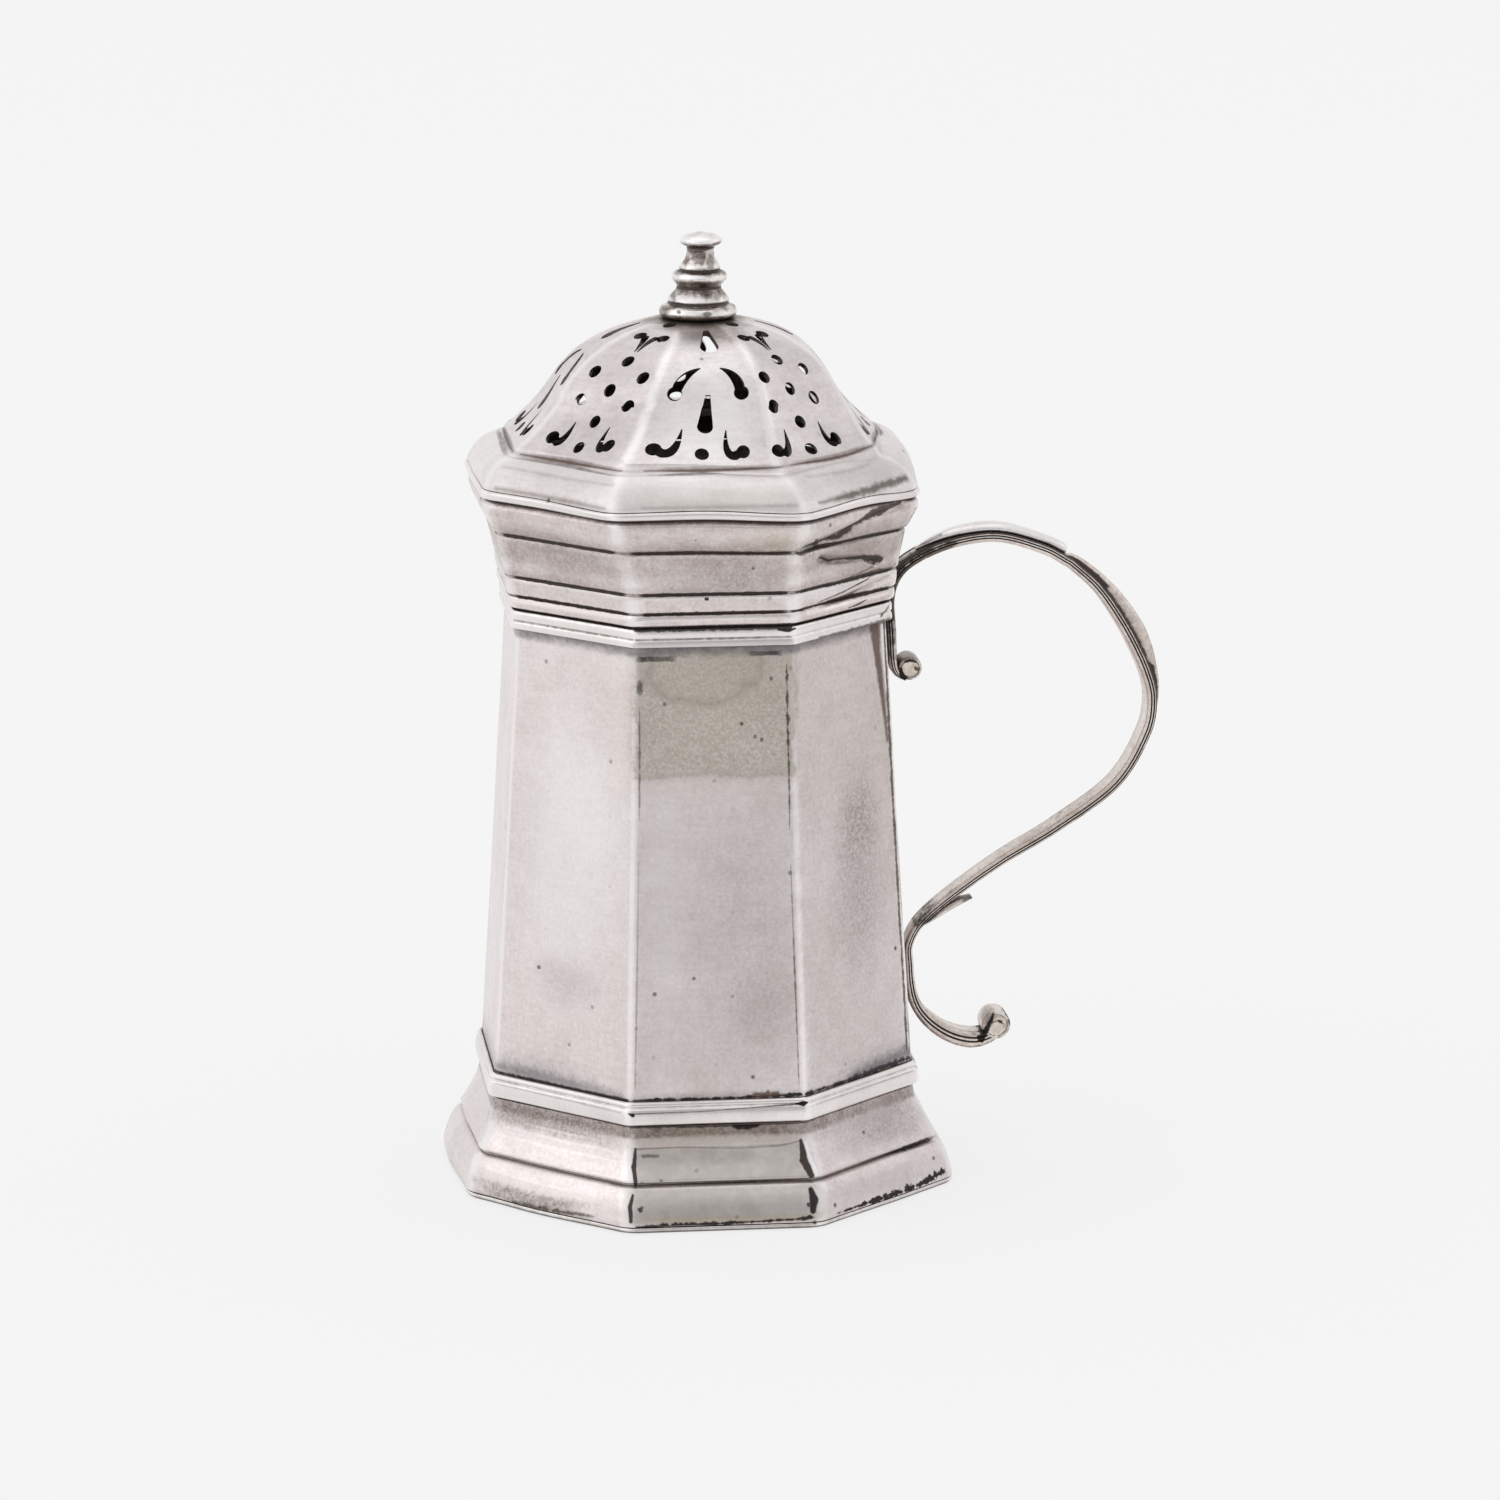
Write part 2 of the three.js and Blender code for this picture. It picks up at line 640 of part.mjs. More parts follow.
// The raised dome, pierced with two patterns on alternate panels
function piercedDome() {
  const line = domeOutline();
  const crown = new THREE.Vector2(crownHoleRadius, crownZ);
  const outer = [...line, crown];
  const inner = offsetLine(outer, domeWall);
  inner[0].y = domeBottomZ;
  inner[inner.length - 1].x = crownHoleRadius;
  const rings = [...outer, ...inner.reverse()].map((point) => domeRing(point.x, point.y));
  let dome = solidOf(loft(rings, true));
  for (let panel = 0; panel < panelCount; panel += 1) {
    const cuts = panel % 2 === 0 ? frontPattern(line, panel) : sidePattern(line, panel);
    for (const cut of cuts) {
      dome = dome.subtract(cut);
    }
  }
  return piece('pierced_dome', geometryOf(dome), brightSilver);
}

// The turned finial, with a peg through the crown of the dome
function finial() {
  const line = outline(finialShares, 0, finialBaseRadius, finialZ, finialZ + finialHeight);
  const profile = [
    new THREE.Vector2(0, finialZ - finialPegLength),
    new THREE.Vector2(finialPegRadius, finialZ - finialPegLength),
    new THREE.Vector2(finialPegRadius, finialZ),
    ...line,
  ];
  return piece('finial', revolved(profile, finialSteps), brightSilver);
}

// The line that the strap follows beside the body, from its rim wire to the pad
const strapTopZ = topWireTopZ - topWireHeight / 2 + strapLift;
const strapTopX = (bodyRadiusAt(strapTopZ) + topWireDepth) * flatShare + strapSeatGap;
const strapLowZ = bodyBottomZ + lowerWireHeight + padRise;
const handleDrop = strapTopZ - strapLowZ;
const strapLowX = bodyRadiusAt(strapLowZ) * flatShare + padThickness + 2 * solderGap;

// A place beside the body, by shares of the handle's reach and drop
function handlePoint(outShare, downShare) {
  const z = strapTopZ - handleDrop * downShare;
  const x = THREE.MathUtils.lerp(strapTopX, strapLowX, downShare) + strapThickness / 2 + handleReach * outShare;
  return new THREE.Vector3(x, 0, z);
}

const strapPath = new THREE.CatmullRomCurve3(
  strapShares.map(([out, down]) => handlePoint(out, down)),
);
const strapSizes = new THREE.CatmullRomCurve3(
  strapShares.map(([, , width, thickness, rib]) => new THREE.Vector3(width, thickness, rib)),
);

// Where the strap is along its path, which way it faces and how large its section is
function strapStation(along) {
  const tangent = strapPath.getTangent(along);
  const sizes = strapSizes.getPoint(along);
  return {
    centre: strapPath.getPoint(along),
    out: new THREE.Vector3(-tangent.z, 0, tangent.x),
    width: strapWidth * sizes.x,
    thickness: strapThickness * sizes.y,
    rib: strapRibHeight * Math.max(sizes.z, 0),
  };
}

// Points of a section, given across the strap and outwards from its middle
function sectionRing(station, section) {
  return section.map(([across, outward]) => station.centre.clone()
    .addScaledVector(station.out, outward)
    .add(new THREE.Vector3(0, across, 0)));
}

// A half section and its mirror image, with a shared point on the middle line
function mirrored(half, middle) {
  return [...half, middle, ...half.map(([across, outward]) => [-across, outward]).reverse()];
}

// The strap's section: a flat band with reeded edges and a rib along its outer face
function strapSection(station) {
  const half = station.width / 2;
  const skin = station.thickness / 2;
  const rib = strapRibWidth / 2;
  const right = [
    [half - strapGrooveDepth, -skin],
    [half, -skin / 2],
    [half - strapGrooveDepth, 0],
    [half, skin / 2],
    [half - strapGrooveDepth, skin],
    [rib, skin],
    [rib * flatShare, skin + station.rib / 2],
  ];
  return mirrored(right, [0, skin + station.rib]);
}

// A short roll across the strap's end
function strapRoll(radius, [out, down]) {
  const half = rollLength / 2;
  const profile = [
    new THREE.Vector2(0, -half),
    new THREE.Vector2(radius - rollEdge, -half),
    new THREE.Vector2(radius, rollEdge - half),
    new THREE.Vector2(radius, half - rollEdge),
    new THREE.Vector2(radius - rollEdge, half),
    new THREE.Vector2(0, half),
  ];
  const geometry = new THREE.LatheGeometry(profile, rollSteps);
  const centre = handlePoint(out, down);
  geometry.translate(centre.x, centre.y, centre.z);
  return solidOf(welded(geometry));
}

function handleStrap() {
  const steps = (strapShares.length - 1) * strapStepsPerRow;
  const rings = [];
  for (let step = 0; step <= steps; step += 1) {
    const station = strapStation(step / steps);
    rings.push(sectionRing(station, strapSection(station)));
  }
  const strap = solidOf(loft(rings, false))
    .add(strapRoll(upperRollRadius, upperRollShares))
    .add(strapRoll(lowerRollRadius, lowerRollShares));
  return piece('handle_strap', geometryOf(strap), wornSilver);
}

// The raised leaf on top of the strap, where the thumb lies
function thumbRest() {
  const rows = new THREE.CatmullRomCurve3(thumbRestShares.map((row) => new THREE.Vector3(...row)));
  const rings = rows.getPoints(thumbRestSteps).map((row) => {
    const station = strapStation(row.x);
    const half = (thumbRestWidth * row.y) / 2;
    const low = station.thickness / 2 + solderGap;
    const height = thumbRestHeight * row.z;
    const right = [
      [half, low],
      [half, low + height / 2],
      [half / 2, low + height * flatShare],
    ];
    return sectionRing(station, mirrored(right, [0, low + height]));
  });
  return piece('thumb_rest', loft(rings, false), wornSilver);
}

// The small spur that leaves the lower strap and hooks outwards
function handleSpur() {
  const places = new THREE.CatmullRomCurve3(
    spurShares.map(([along, , , lift]) => new THREE.Vector3(along, lift, 0)),
  );
  const sizes = new THREE.CatmullRomCurve3(
    spurShares.map(([, width, thickness]) => new THREE.Vector3(width, thickness, 0)),
  );
  const rings = places.getPoints(spurSteps).map((place, step) => {
    const station = strapStation(place.x);
    const size = sizes.getPoint(step / spurSteps);
    const half = (spurWidth * size.x) / 2;
    const low = station.thickness / 2 + solderGap + spurLift * Math.max(place.y, 0);
    const thickness = spurThickness * size.y;
    const right = [
      [half, low],
      [half, low + thickness / 2],
    ];
    return sectionRing(station, mirrored(right, [0, low + thickness]));
  });
  return piece('handle_spur', loft(rings, false), wornSilver);
}

// The solder pad that carries the strap's lower bend on the body
function handlePad() {
  const low = strapLowZ - padHeight / 2;
  const high = strapLowZ + padHeight / 2;
  const face = (z) => bodyRadiusAt(z) * flatShare + solderGap;
  const shape = new THREE.Shape([
    new THREE.Vector2(face(low), low),
    new THREE.Vector2(face(low + padTaper) + padThickness, low + padTaper),
    new THREE.Vector2(face(high - padTaper) + padThickness, high - padTaper),
    new THREE.Vector2(face(high), high),
  ]);
  const geometry = new THREE.ExtrudeGeometry(shape, { depth: padWidth, bevelEnabled: false });
  geometry.rotateX(Math.PI / 2);
  geometry.translate(0, padWidth / 2, 0);
  return piece('handle_pad', welded(geometry), wornSilver);
}

function dredgerBody() {
  const group = new THREE.Group();
  group.add(footRim(), foot(), basePlate(), bodyShell());
  group.add(bodyWire('lower_wire', lowerWireShares, bodyBottomZ, lowerWireHeight, lowerWireDepth));
  group.add(bodyWire('top_wire', topWireShares, topWireBottomZ, topWireHeight, topWireDepth));
  group.add(neckSleeve(), handleStrap(), thumbRest(), handleSpur(), handlePad());
  return group;
}

function dredgerCover() {
  const group = new THREE.Group();
  group.add(coverBand(), corniceWire(), cornice(), piercedDome(), finial());
  return group;
}

// The whole dredger, with its origin on the table under the middle of its outline
const dredger = new THREE.Group();
dredger.add(dredgerBody(), dredgerCover());
const outlineBox = new THREE.Box3().setFromObject(dredger);
const outlineCentre = outlineBox.getCenter(new THREE.Vector3());
dredger.position.set(-outlineCentre.x, -outlineCentre.y, -outlineBox.min.z);
dredger.updateMatrixWorld(true);

export default dredger;
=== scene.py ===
"""Antique octagonal silver sugar dredger: its fine shapes, finishes, light and camera.

Sizes in the classes are millimetres, and heights are measured from the table. Angles are degrees
round the body's axis: 0 is the handle, 270 the front panel and 315 the panel right of it.
"""

import json
import logging
import math
from collections.abc import Callable, Sequence
from dataclasses import dataclass, field
from enum import Enum
from functools import partialmethod

import bmesh
import bpy
from mathutils import Euler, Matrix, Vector

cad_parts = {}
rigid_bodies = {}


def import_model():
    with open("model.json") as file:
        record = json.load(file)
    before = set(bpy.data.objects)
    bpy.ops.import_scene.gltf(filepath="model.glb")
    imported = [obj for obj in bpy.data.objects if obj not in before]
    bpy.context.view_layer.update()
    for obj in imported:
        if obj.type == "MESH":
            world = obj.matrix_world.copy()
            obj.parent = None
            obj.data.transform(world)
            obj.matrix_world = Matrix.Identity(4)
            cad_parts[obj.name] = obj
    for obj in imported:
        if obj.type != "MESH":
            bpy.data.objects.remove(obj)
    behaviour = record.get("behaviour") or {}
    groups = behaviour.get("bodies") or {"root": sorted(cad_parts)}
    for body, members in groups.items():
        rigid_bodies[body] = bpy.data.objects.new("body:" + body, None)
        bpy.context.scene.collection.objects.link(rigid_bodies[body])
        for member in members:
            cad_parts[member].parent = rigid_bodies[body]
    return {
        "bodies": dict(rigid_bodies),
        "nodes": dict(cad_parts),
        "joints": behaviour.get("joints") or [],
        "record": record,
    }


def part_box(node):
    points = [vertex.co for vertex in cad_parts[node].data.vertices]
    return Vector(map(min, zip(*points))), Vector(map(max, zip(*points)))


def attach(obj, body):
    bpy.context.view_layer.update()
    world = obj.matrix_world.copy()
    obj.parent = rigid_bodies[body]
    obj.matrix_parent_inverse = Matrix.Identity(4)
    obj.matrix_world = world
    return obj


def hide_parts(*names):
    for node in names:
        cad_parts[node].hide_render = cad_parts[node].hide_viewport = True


log = logging.getLogger("dredger")

Point = tuple[float, float]
Line = list[Point]
Row = tuple[float, ...]
Colour = tuple[float, float, float]

METRES = 0.001
PANELS = 8
PANEL_TURN = 2 * math.pi / PANELS
FLAT_SHARE = math.cos(PANEL_TURN / 2)
HALF_FLAT_SHARE = math.sin(PANEL_TURN / 2)
PANEL_ANGLES = tuple(index * 360 / PANELS for index in range(PANELS))
FRONT = 270.0
LEFT = 225.0
RIGHT = 315.0
ROUND_STEPS = 3
ROUND_ROOM_SHARE = 0.45
STRAIGHT_BEND = math.radians(2)
SHALLOW_BEND = math.radians(32)
CORNER_SEGMENTS = 4
WELD_REACH = 0.004
ARRIS_CORE_SHARE = 0.15


# Lines and sections


def mix(first: float, last: float, share: float) -> float:
    """Value at a share of the way from first to last."""
    return first + (last - first) * share


def ease(value: float, low: float, high: float) -> float:
    """Smooth step from 0 at low to 1 at high."""
    share = min(max((value - low) / (high - low), 0.0), 1.0)
    return share * share * (3 - 2 * share)


def spread(shares: Sequence[Point], inner: float, outer: float, low: float, high: float) -> Line:
    """Turns a table of shares into radii and heights.

    Args:
        shares: pairs of radius share and height share.
        inner: radius at share 0.
        outer: radius at share 1.
        low: height at share 0.
        high: height at share 1.

    Returns:
        The section's points in millimetres.
    """
    return [(mix(inner, outer, across), mix(low, high, up)) for across, up in shares]


def rounded(line: Line, edge: float, closed: bool = True) -> Line:
    """Rounds a section: shallow bends become curves, sharp ones get a small fillet.

    Args:
        line: the section's points.
        edge: how far a fillet reaches from a sharp bend.
        closed: whether the last point joins the first.

    Returns:
        The finer section.
    """
    count = len(line)
    done: Line = []
    for index, (radius, height) in enumerate(line):
        if not closed and index in (0, count - 1):
            done.append((radius, height))
            continue
        here = Vector((radius, height))
        back = Vector(line[index - 1]) - here
        ahead = Vector(line[(index + 1) % count]) - here
        bend = math.pi - back.angle(ahead)
        if bend < STRAIGHT_BEND:
            done.append((radius, height))
            continue
        room = ROUND_ROOM_SHARE * min(back.length, ahead.length)
        reach = room if bend < SHALLOW_BEND else min(edge, room)
        start = here + back.normalized() * reach
        end = here + ahead.normalized() * reach
        for step in range(ROUND_STEPS + 1):
            share = step / ROUND_STEPS
            spot = start.lerp(here, share).lerp(here.lerp(end, share), share)
            done.append((spot.x, spot.y))
    return done


def divided(line: Line, most: float) -> Line:
    """Adds points to a line so that no segment is longer than the most given."""
    done: Line = [line[0]]
    for before, after in zip(line, line[1:]):
        parts = max(1, math.ceil(math.dist(before, after) / most))
        for part in range(1, parts + 1):
            share = part / parts
            done.append((mix(before[0], after[0], share), mix(before[1], after[1], share)))
    return done


def arc(steps: int, start: float = 0.0, sweep: float = 2 * math.pi) -> Line:
    """Unit directions along an arc in radians, from its start to its end."""
    turns = [start + sweep * step / steps for step in range(steps + 1)]
    return [(math.cos(turn), math.sin(turn)) for turn in turns]


def mirrored(low: float, side: Line, high: float) -> Line:
    """Closed section of a low middle point, a right side, a high middle point and the left side."""
    return [(0, low), *side, (0, high), *[(-across, up) for across, up in reversed(side)]]


def along_rows(rows: Sequence[Row], share: float) -> list[float]:
    """Values of a table at a share of its length, through a smooth curve of its rows.

    Args:
        rows: the table, whose rows are evenly spaced steps.
        share: 0 at the first row and 1 at the last.

    Returns:
        One value for each column.
    """
    place = share * (len(rows) - 1)
    index = min(int(place), len(rows) - 2)
    local = place - index
    before, here = rows[max(index - 1, 0)], rows[index]
    after, beyond = rows[index + 1], rows[min(index + 2, len(rows) - 1)]
    values = []
    for a, b, c, d in zip(before, here, after, beyond):
        values.append(0.5 * (2 * b + (c - a) * local + (2 * a - 5 * b + 4 * c - d) * local ** 2
                             + (3 * b - a - 3 * c + d) * local ** 3))
    return values


# Modelling with Blender's own tools


def start_ring(name: str, sides: int, radius: float, height: float, axis: Vector) -> bpy.types.Object:
    """Adds a flat ring of edges round the axis and enters edit mode with all of it selected.

    Args:
        name: name of the new piece.
        sides: number of points in the ring.
        radius: radius of its points in millimetres.
        height: its height in millimetres.
        axis: any point of the body's axis in metres.

    Returns:
        The new object, whose place is in its mesh.
    """
    bpy.ops.object.select_all(action="DESELECT")
    bpy.ops.mesh.primitive_circle_add(
        vertices=sides, radius=radius * METRES, rotation=(0, 0, math.pi / sides),
        location=(axis.x, axis.y, height * METRES),
    )
    piece = bpy.context.object
    piece.name = name
    piece.data.name = name
    bpy.ops.object.transform_apply(location=True, rotation=True, scale=True)
    bpy.ops.object.mode_set(mode="EDIT")
    bpy.ops.mesh.select_mode(type="VERT")
    bpy.ops.mesh.select_all(action="SELECT")
    return piece


def soften_ring(piece: bpy.types.Object, soft: float, cuts: int) -> None:
    """Rounds the ring's corners and divides its flats.

    Args:
        piece: the ring, in edit mode.
        soft: how far each rounding reaches from its corner, in millimetres.
        cuts: cuts in each flat.
    """
    bpy.ops.mesh.bevel(affect="VERTICES", offset=soft * METRES, segments=CORNER_SEGMENTS,
                       clamp_overlap=False)
    mesh = bmesh.from_edit_mesh(piece.data)
    longest = max(edge.calc_length() for edge in mesh.edges)
    for vertex in mesh.verts:
        vertex.select_set(False)
    for edge in mesh.edges:
        edge.select_set(edge.calc_length() > longest / 2)
    bmesh.update_edit_mesh(piece.data)
    bpy.ops.mesh.subdivide(number_cuts=cuts)
    bpy.ops.mesh.select_all(action="SELECT")


def raise_rings(line: Line, axis: Vector, roundness: Callable[[float], float] | None = None) -> None:
    """Extrudes the selected ring along a section, one extrusion and one scaling for each point.

    Args:
        line: the section, which starts at the selected ring.
        axis: any point of the body's axis in metres.
        roundness: how round the ring is at a height, from 0 to 1, or None.
    """
    for (radius, height), (next_radius, next_height) in zip(line, line[1:]):
        rise = (next_height - height) * METRES
        bpy.ops.mesh.extrude_region_move(TRANSFORM_OT_translate={"value": (0, 0, rise)})
        size = next_radius / radius
        middle = (axis.x, axis.y, next_height * METRES)
        bpy.ops.transform.resize(value=(size, size, 1), center_override=middle)
        if roundness and roundness(next_height) > roundness(height):
            gain = 1 - (1 - roundness(next_height)) / (1 - roundness(height))
            bpy.ops.transform.tosphere(value=gain)


def close_mesh(piece: bpy.types.Object) -> None:
    """Joins doubled points, turns the faces outwards and leaves edit mode."""
    bpy.ops.mesh.select_all(action="SELECT")
    bpy.ops.mesh.remove_doubles(threshold=WELD_REACH * METRES)
    bpy.ops.mesh.normals_make_consistent(inside=False)
    bpy.ops.object.mode_set(mode="OBJECT")
    piece.select_set(False)


def octagon_piece(name: str, line: Line, axis: Vector, soft: float, cuts: int) -> bpy.types.Object:
    """Models an eight-sided ring of one closed section.

    Args:
        name: name of the piece.
        line: its section, a closed line of radii to the corners and heights.
        axis: any point of the body's axis in metres.
        soft: how far the rounding reaches from each corner, in millimetres.
        cuts: cuts in each flat.

    Returns:
        The closed piece.
    """
    radius, height = line[0]
    piece = start_ring(name, PANELS, radius, height, axis)
    soften_ring(piece, soft, cuts)
    raise_rings([*line, line[0]], axis)
    close_mesh(piece)
    return piece


def turned_piece(name: str, line: Line, axis: Vector, sides: int) -> bpy.types.Object:
    """Models a turned solid from the underside of its stem to its tip on the axis."""
    radius, height = line[0]
    piece = start_ring(name, sides, radius, height, axis)
    bpy.ops.mesh.edge_face_add()
    raise_rings(line, axis)
    bpy.ops.mesh.edge_face_add()
    close_mesh(piece)
    return piece


def loft(name: str, rings: Sequence[Sequence[Vector]]) -> bpy.types.Object:
    """Models a capped solid through rings of equal length, one extrusion for each ring.

    Args:
        name: name of the piece.
        rings: the rings' points in metres.

    Returns:
        The closed piece.
    """
    count = len(rings[0])
    piece = start_ring(name, count, 1, 0, Vector((0, 0, 0)))
    for index, ring in enumerate(rings):
        if index:
            bpy.ops.mesh.extrude_region_move()
        mesh = bmesh.from_edit_mesh(piece.data)
        mesh.verts.ensure_lookup_table()
        for vertex, spot in zip(mesh.verts[-count:], ring):
            vertex.co = spot
        if index == 0:
            bmesh.update_edit_mesh(piece.data)
    bpy.ops.mesh.edge_face_add()
    mesh = bmesh.from_edit_mesh(piece.data)
    mesh.verts.ensure_lookup_table()
    for vertex in mesh.verts:
        vertex.select_set(False)
    for vertex in mesh.verts[:count]:
        vertex.select_set(True)
    mesh.select_flush(True)
    bmesh.update_edit_mesh(piece.data)
    bpy.ops.mesh.edge_face_add()
    close_mesh(piece)
    return piece


def join_cut(piece: bpy.types.Object, others: Sequence[bpy.types.Object], operation: str) -> None:
    """Cuts the others out of a piece, or unites it with them, and removes them.

    Args:
        piece: the piece that stays.
        others: closed solids that don't touch each other.
        operation: DIFFERENCE or UNION.
    """
    bpy.ops.object.select_all(action="DESELECT")
    for other in others:
        other.select_set(True)
    bpy.context.view_layer.objects.active = others[0]
    if len(others) > 1:
        bpy.ops.object.join()
    tool = bpy.context.object
    tool.select_set(False)
    bpy.context.view_layer.objects.active = piece
    cut = piece.modifiers.new("cut", "BOOLEAN")
    cut.operation = operation
    cut.solver = "EXACT"
    cut.object = tool
    bpy.ops.object.modifier_apply(modifier=cut.name)
    bpy.data.objects.remove(tool, do_unlink=True)


def shade(piece: bpy.types.Object, degrees: float) -> None:
    """Shades smooth across all edges flatter than an angle."""
    bpy.ops.object.select_all(action="DESELECT")
    piece.select_set(True)
    bpy.context.view_layer.objects.active = piece
    bpy.ops.object.shade_smooth_by_angle(angle=math.radians(degrees))
    piece.select_set(False)


def ripple(piece: bpy.types.Object, depth: float, size: float) -> None:
    """Gives hand-raised sheet its faint waves.

    Args:
        piece: the piece.
        depth: height of the waves in millimetres.
        size: their length in millimetres.
    """
    waves = bpy.data.textures.new(f"{piece.name}_waves", "CLOUDS")
    waves.noise_scale = size * METRES
    waves.noise_depth = 1
    modifier = piece.modifiers.new("waves", "DISPLACE")
    modifier.texture = waves
    modifier.texture_coords = "LOCAL"
    modifier.strength = depth * METRES
    modifier.mid_level = 0.5
    bpy.context.view_layer.objects.active = piece
    bpy.ops.object.modifier_apply(modifier=modifier.name)


def mark_arrises(piece: bpy.types.Object, axis: Vector, reach: float) -> None:
    """Stores how near each point is to one of the eight corners, in the attribute that lightens rubbed
    corners and painted highlight lines.

    Args:
        piece: the piece, before any handwork.
        axis: any point of the body's axis in metres.
        reach: distance from a corner at which the value is 0, in millimetres.
    """
    layer = piece.data.attributes.new("wear_and_highlight", "FLOAT", "POINT")
    for vertex, value in zip(piece.data.vertices, layer.data):
        arm = vertex.co - axis
        turn = math.atan2(arm.y, arm.x) % PANEL_TURN - PANEL_TURN / 2
        across = abs(math.sin(turn)) * math.hypot(arm.x, arm.y) / METRES
        value.value = 1 - ease(across, reach * ARRIS_CORE_SHARE, reach)


def mark_levels(piece: bpy.types.Object, name: str, levels: Sequence[float], reach: float,
                clean_corners: float = 0.0) -> None:
    """Stores how near each point is to one of a list of heights.

    Args:
        piece: the piece, before any handwork.
        name: name of the attribute, the grime one or the one that lightens rubbed corners and painted
            highlight lines.
        levels: the heights in millimetres.
        reach: distance over which the value fades, in millimetres.
        clean_corners: share of the value that is gone at the corners.
    """
    layer = piece.data.attributes.get(name) or piece.data.attributes.new(name, "FLOAT", "POINT")
    corners = [0.0] * len(piece.data.vertices)
    if clean_corners:
        piece.data.attributes["wear_and_highlight"].data.foreach_get("value", corners)
    for vertex, value, corner in zip(piece.data.vertices, layer.data, corners):
        height = vertex.co.z / METRES
        near = max(math.exp(-((height - level) / reach) ** 2) for level in levels)
        value.value = max(value.value, near * (1 - clean_corners * corner))


def line_inside(piece: bpy.types.Object, middle: Vector) -> None:
    """Gives the faces that look towards a point in metres the piece's second material."""
    for face in piece.data.polygons:
        if face.normal.dot(face.center - middle) < 0:
            face.material_index = 1


# Handwork: what makes the piece look raised by hand and used for years


@dataclass(frozen=True)
class CornerDrift:
    """How far the eight corners stray from a true octagon, level by level.

    Each row is a height and, for the corners at 202.5, 247.5, 292.5 and 337.5 degrees, how far
    they stray towards the handle and upwards. The four corners behind stay true up to the dome's
    level, above which the whole round moves as one.
    """

    corners: tuple[float, ...] = (202.5, 247.5, 292.5, 337.5)
    reach: float = 30.0
    dome_level: float = 99.0
    rows: tuple[tuple[float, tuple[Point, ...]], ...] = (
        (0.0, ((1.3, 0), (1.2, 0), (-0.6, 0), (0.1, 0))),
        (5.6, ((0.68, 0), (0.55, 0), (0.2, 0), (0.25, 0))),
        (12.3, ((0, 0), (0, 0), (0, 0), (0, 0))),
        (75.0, ((0, 0), (0, 0), (-0.2, 0), (0, 0))),
        (86.0, ((0.2, 0), (-1.0, 0.1), (-0.6, -0.3), (-0.6, -0.5))),
        (88.4, ((0.37, 0), (-1.45, -0.2), (-0.62, -0.7), (-0.87, -1.0))),
        (92.3, ((0, 0.1), (-1.45, 0.3), (-1.3, -0.5), (-0.87, -1.0))),
        (99.0, ((0.3, 0.1), (-0.3, 0.1), (-0.2, -0.2), (0.1, -0.3))),
        (106.0, ((0.5, 0), (0.5, 0), (0.5, 0), (0.5, 0))),
        (118.0, ((0.9, 0), (0.9, 0), (0.9, 0), (0.9, 0))),
    )

    def at(self, spot: Vector) -> Vector:
        """Shift of a spot, both in millimetres from the foot of the axis."""
        heights = [row[0] for row in self.rows]
        above = next((i for i, height in enumerate(heights) if height >= spot.z), len(heights) - 1)
        above = max(above, 1)
        share = ease(spot.z, heights[above - 1], heights[above])
        turn = math.degrees(math.atan2(spot.y, spot.x)) % 360
        weights = []
        for corner in self.corners:
            away = abs((turn - corner + 180) % 360 - 180)
            weights.append(1 - ease(away, 0, self.reach) if spot.z < self.dome_level
                           else 1 / len(self.corners))
        total = max(sum(weights), 1)
        shift = Vector((0, 0, 0))
        for index, weight in enumerate(weights):
            low = self.rows[above - 1][1][index]
            high = self.rows[above][1][index]
            shift.x += weight * mix(low[0], high[0], share) / total
            shift.z += weight * mix(low[1], high[1], share) / total
        return shift


@dataclass(frozen=True)
class Crease:
    """A crease or dent in a panel: a line on it, pushed inwards."""

    panel: float
    path: tuple[Point, ...]
    width: float
    depth: float
    overlap: float = 1.02

    def at(self, spot: Vector) -> Vector:
        """Shift of a spot, both in millimetres from the foot of the axis."""
        turn = math.radians(self.panel)
        out = Vector((math.cos(turn), math.sin(turn), 0))
        across = spot.dot(Vector((-math.sin(turn), math.cos(turn), 0)))
        if spot.dot(out) < 0 or abs(across) > spot.dot(out) * math.tan(PANEL_TURN / 2) * self.overlap:
            return Vector((0, 0, 0))
        here = Vector((across, spot.z))
        nearest = min(self.gap(here, Vector(a), Vector(b)) for a, b in zip(self.path, self.path[1:]))
        return out * (-self.depth * math.exp(-((nearest / self.width) ** 2)))

    @staticmethod
    def gap(here: Vector, start: Vector, end: Vector) -> float:
        """Distance from a place to a straight line between two others."""
        way = end - start
        share = min(max((here - start).dot(way) / way.length_squared, 0), 1)
        return (here - start - way * share).length


def handwork(piece: bpy.types.Object, axis: Vector, shifts: Sequence[CornerDrift | Crease]) -> None:
    """Moves a piece's points by a list of hand-made faults."""
    bpy.context.view_layer.objects.active = piece
    bpy.ops.object.mode_set(mode="EDIT")
    mesh = bmesh.from_edit_mesh(piece.data)
    for vertex in mesh.verts:
        spot = (vertex.co - axis) / METRES
        for shift in shifts:
            vertex.co += shift.at(spot) * METRES
    bmesh.update_edit_mesh(piece.data)
    bpy.ops.object.mode_set(mode="OBJECT")


# Shader building


